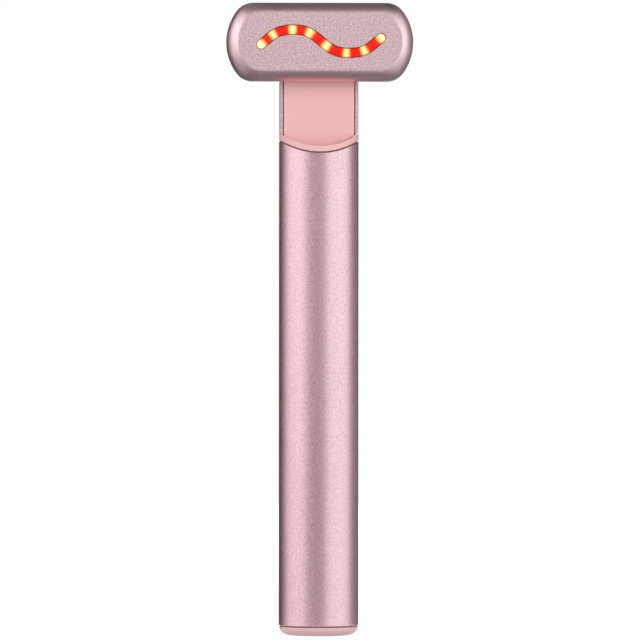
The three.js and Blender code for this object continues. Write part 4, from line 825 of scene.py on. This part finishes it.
def makeButton():
    sizes = buttonSizes
    radius, face, edge, stem = sizes["radius"], sizes["recess"], sizes["edge"], sizes["stemRadius"]
    wide, low, high = radius + sizes["flangeWidth"], sizes["flangeLow"], sizes["flangeHigh"]
    steps = arcSteps["buttonDish"]
    dish = [(radius * sizes["dishShare"] * i / steps, face + sizes["dishDepth"] * (1 - (i / steps) ** 2))
            for i in range(steps + 1)]
    rounded = rounding(radius - edge, edge, face, edge, arcSteps["buttonRound"])[1:]
    bm = solidTurned(dish + rounded + [
        (radius, low), (wide, low), (wide, high), (stem, high), (stem, sizes["stemTop"]),
        (0, sizes["stemTop"])], facets["button"])
    bm = moved(bm, (0, sizes["y"], 0))
    return finished(bm, "powerButton", "power_button", "blush_plastic", ["power_button"], ownFinishes["cap"])


def makeSocket():
    sizes, top = socketSizes, baseSizes["boardHeight"]
    y, wall, bottom = sizes["y"], sizes["wall"], sizes["bottom"]
    length, width = sizes["length"], sizes["width"]
    shell = thicken(slotFace(length, width, y), bottom, top)
    length, width = length - 2 * wall, width - 2 * wall
    shell = cutBy(shell, thicken(slotFace(length, width, y), bottom - wall, top + wall))
    easedEdges(shell, sizes["edge"], onLevel(bottom), segments=2)
    finished(shell, "socketShell", "handle", "steel", ["charging_shell"])
    gap = sizes["rootGap"]
    root = thicken(slotFace(length - gap, width - gap, y), sizes["rootBottom"], top)
    half, thin, low = sizes["tongueLength"] / 2, sizes["tongueHeight"] / 2, sizes["tongueBottom"]
    tongue = cuboid((-half, y - thin, low), (half, y + thin, sizes["tongueTop"]))
    easedEdges(tongue, sizes["tongueEdge"], onLevel(low), segments=2)
    finished(joined(tongue, root), "socketTongue", "handle", "black_plastic", ["charging_tongue"])
    strips = bmesh.new()
    for side in (-1, 1):
        for i in range(sizes["contacts"]):
            x = (i - (sizes["contacts"] - 1) / 2) * sizes["contactPitch"]
            place = (x, y + side * (thin + sizes["contactRise"]), low + sizes["contactMiddle"])
            made = bmesh.ops.create_cube(strips, size=1)["verts"]
            bmesh.ops.scale(strips, vec=sizes["contactSize"], verts=made)
            bmesh.ops.translate(strips, vec=place, verts=made)
    easedEdges(strips, sizes["contactEdge"], lambda edge: True, segments=1)
    return finished(strips, "socketContacts", "handle", "brass")


def makeLightGuide():
    sizes = guideSizes
    tip = rounding(0, sizes["radius"], sizes["tip"], sizes["tipHeight"], arcSteps["guideTip"])
    bm = solidTurned(tip + [(sizes["radius"], sizes["top"]), (0, sizes["top"])], facets["guide"])
    return finished(moved(bm, sizes["place"]), "lightGuide", "handle", "clear_plastic", ["light_pipe"])


def makeBaseShadeRing():  # dark ring in the joint line between tube and base cap: painted shade where the gap shows
    inner, outer = baseSizes["shadeRingInner"], baseSizes["shadeRingOuter"]
    low, high = baseSizes["shadeRingLow"], baseSizes["shadeRingHigh"]
    bm = turned([(inner, low), (outer, low), (outer, high), (inner, high)], facets["cap"])
    return finished(bm, "baseShadeRing", "handle", "grey_rubber", (), ownFinishes["seam"])


makeBaseCap()
makeBaseShadeRing()
makeButton()
makeSocket()
makeLightGuide()
print("base made")


# the CAD parts that stay take the finish of their slot
slotOf = {row["node"]: row["material_slot"] for row in frame["record"]["subparts"]}
for name, part in frame["nodes"].items():
    part.data.materials.clear()
    part.data.materials.append(finishes[slotOf[name]])
print("inner parts finished")


# pale floor that keeps a faint shadow, a white card that only the gloss of the base sees, and a white world
stageSizes = {"floor": 24, "card": 0.019, "cardLevel": -0.0002, "wallRadius": 1.45, "wallHeight": 0.08}
floorLight = {"albedo": 0.4, "seen": 0.87, "bounce": 0.22, "card": 0.8, "world": 0.36}


def makeFloor():
    bm = bmesh.new()
    bmesh.ops.create_grid(bm, x_segments=4, y_segments=4, size=stageSizes["floor"] / 2)
    shader = newShader("paleFloor")
    seen, soft = [shader.node("ShaderNodeLightPath", {}, {}, ray) for ray in (
        "Is Camera Ray", "Is Diffuse Ray")]
    pale = floorLight["albedo"]
    lit = shader.node("ShaderNodeBsdfDiffuse", {}, {"Color": (pale, pale, pale, 1)})
    plain = shader.node("ShaderNodeEmission", {}, {
        "Color": (1, 1, 1, 1), "Strength": seen * floorLight["seen"] + soft * floorLight["bounce"]})
    both = shader.node("ShaderNodeAddShader", {}, {0: lit, 1: plain})
    shader.node("ShaderNodeOutputMaterial", {}, {"Surface": both})
    shader.owner.cycles.emission_sampling = "NONE"
    floor = objectOf(bm, "floor")
    floor.data.materials.append(shader.owner)
    floor.visible_glossy = False


def makeCard():
    bm = bmesh.new()
    bmesh.ops.create_circle(bm, cap_ends=True, segments=facets["ring"], radius=stageSizes["card"])
    moved(bm, (0, 0, stageSizes["cardLevel"]))
    shader = newShader("whiteCard")
    glow = shader.node("ShaderNodeEmission", {}, {"Color": (1, 1, 1, 1), "Strength": floorLight["card"]})
    shader.node("ShaderNodeOutputMaterial", {}, {"Surface": glow})
    shader.owner.cycles.emission_sampling = "NONE"
    card = objectOf(bm, "card")
    card.data.materials.append(shader.owner)
    card.visible_camera = card.visible_diffuse = card.visible_shadow = False


# round walls that the camera doesn't see: soft boxes left and right, grey in front, dark between
wallLight = {
    "stops": ((0, 0.45), (0.02, 0.3), (0.042, 0.02), (0.12, 0.02), (0.18, 0.36), (0.22, 1.26), (0.27, 1.35),
              (0.31, 1.49), (0.38, 1.49), (0.42, 0.66),
              (0.50, 0.61), (0.545, 0.64), (0.575, 1.46), (0.75, 1.46), (0.80, 0.38), (0.95, 0.12),
              (0.975, 0.5), (1, 0.5)),
    "tints": ((0.93, 0.95), (1.098, 1.07)),  # green and blue where it is dark, and where it is brightest
    "cool": (0.56, 0.79, 1.1, 1.05),  # the right box: from and to, more green and more blue
    "highest": 1.8, "above": (0.42, 0.7, 0.11), "below": (0.05, 0.8, 0.25),  # full to, dark from, dark level
    "rise": 0.7, "riseEnd": 0.58, "riseWidth": 1 / 12, "lowest": -0.3,  # brighter upwards on the left
    "lowFrom": 0.2, "lowWidth": 0.2, "lowShare": 0.5,  # dimmer low down
    "fill": 0.3,  # what matt surfaces see
}


def makeWalls():
    bm = bmesh.new()
    bmesh.ops.create_icosphere(bm, subdivisions=4, radius=stageSizes["wallRadius"])
    moved(bm, (0, 0, stageSizes["wallHeight"]))
    shader, look = newShader("softBoxes"), wallLight
    highest, (dull, bright) = look["highest"], look["tints"]
    start, end, moreGreen, moreBlue = look["cool"]
    levels = []
    for position, level in look["stops"]:
        share = level / highest
        green, blue = [low + (high - low) * share for low, high in zip(dull, bright)]
        if start < position < end:
            green, blue = green * moreGreen, blue * moreBlue
        levels.append((position, (share, share * green, share * blue, 1)))
    x, y, z = [shader.node("ShaderNodeSeparateXYZ", {}, {0: shader.coordinates()}, axis) for axis in "XYZ"]
    turn = (shader.maths("ARCTAN2", x, y * -1) + cameraView["turn"]) / math.tau + 0.5
    height = z - stageSizes["wallHeight"]
    up = height / stageSizes["wallRadius"]
    (fullUp, darkUp, darkAbove), (fullDown, darkDown, darkBelow) = look["above"], look["below"]
    fromAbove = shader.limit((darkUp - up) / (darkUp - fullUp))
    fromBelow = shader.limit((up + darkDown) / (darkDown - fullDown))
    left = shader.limit((look["riseEnd"] - turn) / look["riseWidth"])
    slope = shader.maths("MAXIMUM", height, look["lowest"]) * left * look["rise"] + 1
    low = shader.limit((up + look["lowFrom"]) / -look["lowWidth"])
    above, below, fill = [shaded((1, 1, 1), part / highest) for part in (darkAbove, darkBelow, look["fill"])]
    dark = shader.mix(low, above, below)
    mirrored = shader.mix(fromAbove * fromBelow, dark, shader.ramp(turn, levels))
    mirrored = shader.mix(low * look["lowShare"], mirrored, dark)
    soft = shader.node("ShaderNodeLightPath", {}, {}, "Is Diffuse Ray")
    glow = shader.node("ShaderNodeEmission", {}, {
        "Color": shader.mix(soft, mirrored, fill), "Strength": (soft + (1 - soft) * slope) * highest})
    shader.node("ShaderNodeOutputMaterial", {}, {"Surface": glow})
    walls = objectOf(bm, "softBoxes")
    walls.data.materials.append(shader.owner)
    shader.owner.cycles.emission_sampling = "NONE"
    walls.visible_camera = False
    walls.visible_transmission = False


def makeWorld():
    world = bpy.data.worlds.new("studio")
    bpy.context.scene.world = world
    shader = Shader(world)
    straight, glossy, clear = [shader.node("ShaderNodeLightPath", {}, {}, ray) for ray in (
        "Is Camera Ray", "Is Glossy Ray", "Is Transmission Ray")]
    seen = shader.limit(straight + glossy + clear)
    unseen = floorLight["world"]
    background = shader.node("ShaderNodeBackground", {}, {
        "Color": (1, 1, 1, 1), "Strength": seen * (1 - unseen) + unseen})
    shader.node("ShaderNodeOutputWorld", {}, {"Surface": background})


# lamps for what isn't mirrored: turn from the camera's side towards the viewer's right, aimed at the neck
lampAim = 0.11
lamps = {
    "leftBox": {"turn": -64, "distance": 0.9, "height": 0.3, "size": (0.8, 0.6), "radiance": 2.38},
    "rightBox": {"turn": 55, "distance": 0.9, "height": 0.3, "size": (0.9, 0.6), "radiance": 2.4},
    "frontBox": {"turn": 0, "distance": 1.0, "height": 0.3, "size": (0.8, 0.56), "radiance": 1.9},
    "backBox": {"turn": 180, "distance": 1.0, "height": 0.4, "size": (0.9, 0.6), "radiance": 2.4},
}


def makeLamp(name, turn, distance, height, size, radiance):
    light = bpy.data.lights.new(name, "AREA")
    light.shape = "RECTANGLE"
    light.size, light.size_y = size
    light.energy = radiance * math.pi * size[0] * size[1]
    lamp = bpy.data.objects.new(name, light)
    angle = math.radians(turn)
    lamp.location = (distance * math.sin(angle), -distance * math.cos(angle), height)
    toWand = Vector((0, 0, lampAim)) - lamp.location
    lamp.rotation_euler = toWand.to_track_quat("-Z", "Y").to_euler()
    lamp.visible_camera = False
    lamp.visible_glossy = False
    bpy.context.scene.collection.objects.link(lamp)


makeFloor()
makeCard()
makeWalls()
makeWorld()
for name, sizes in lamps.items():
    makeLamp(name, **sizes)
print("stage and lamps made")
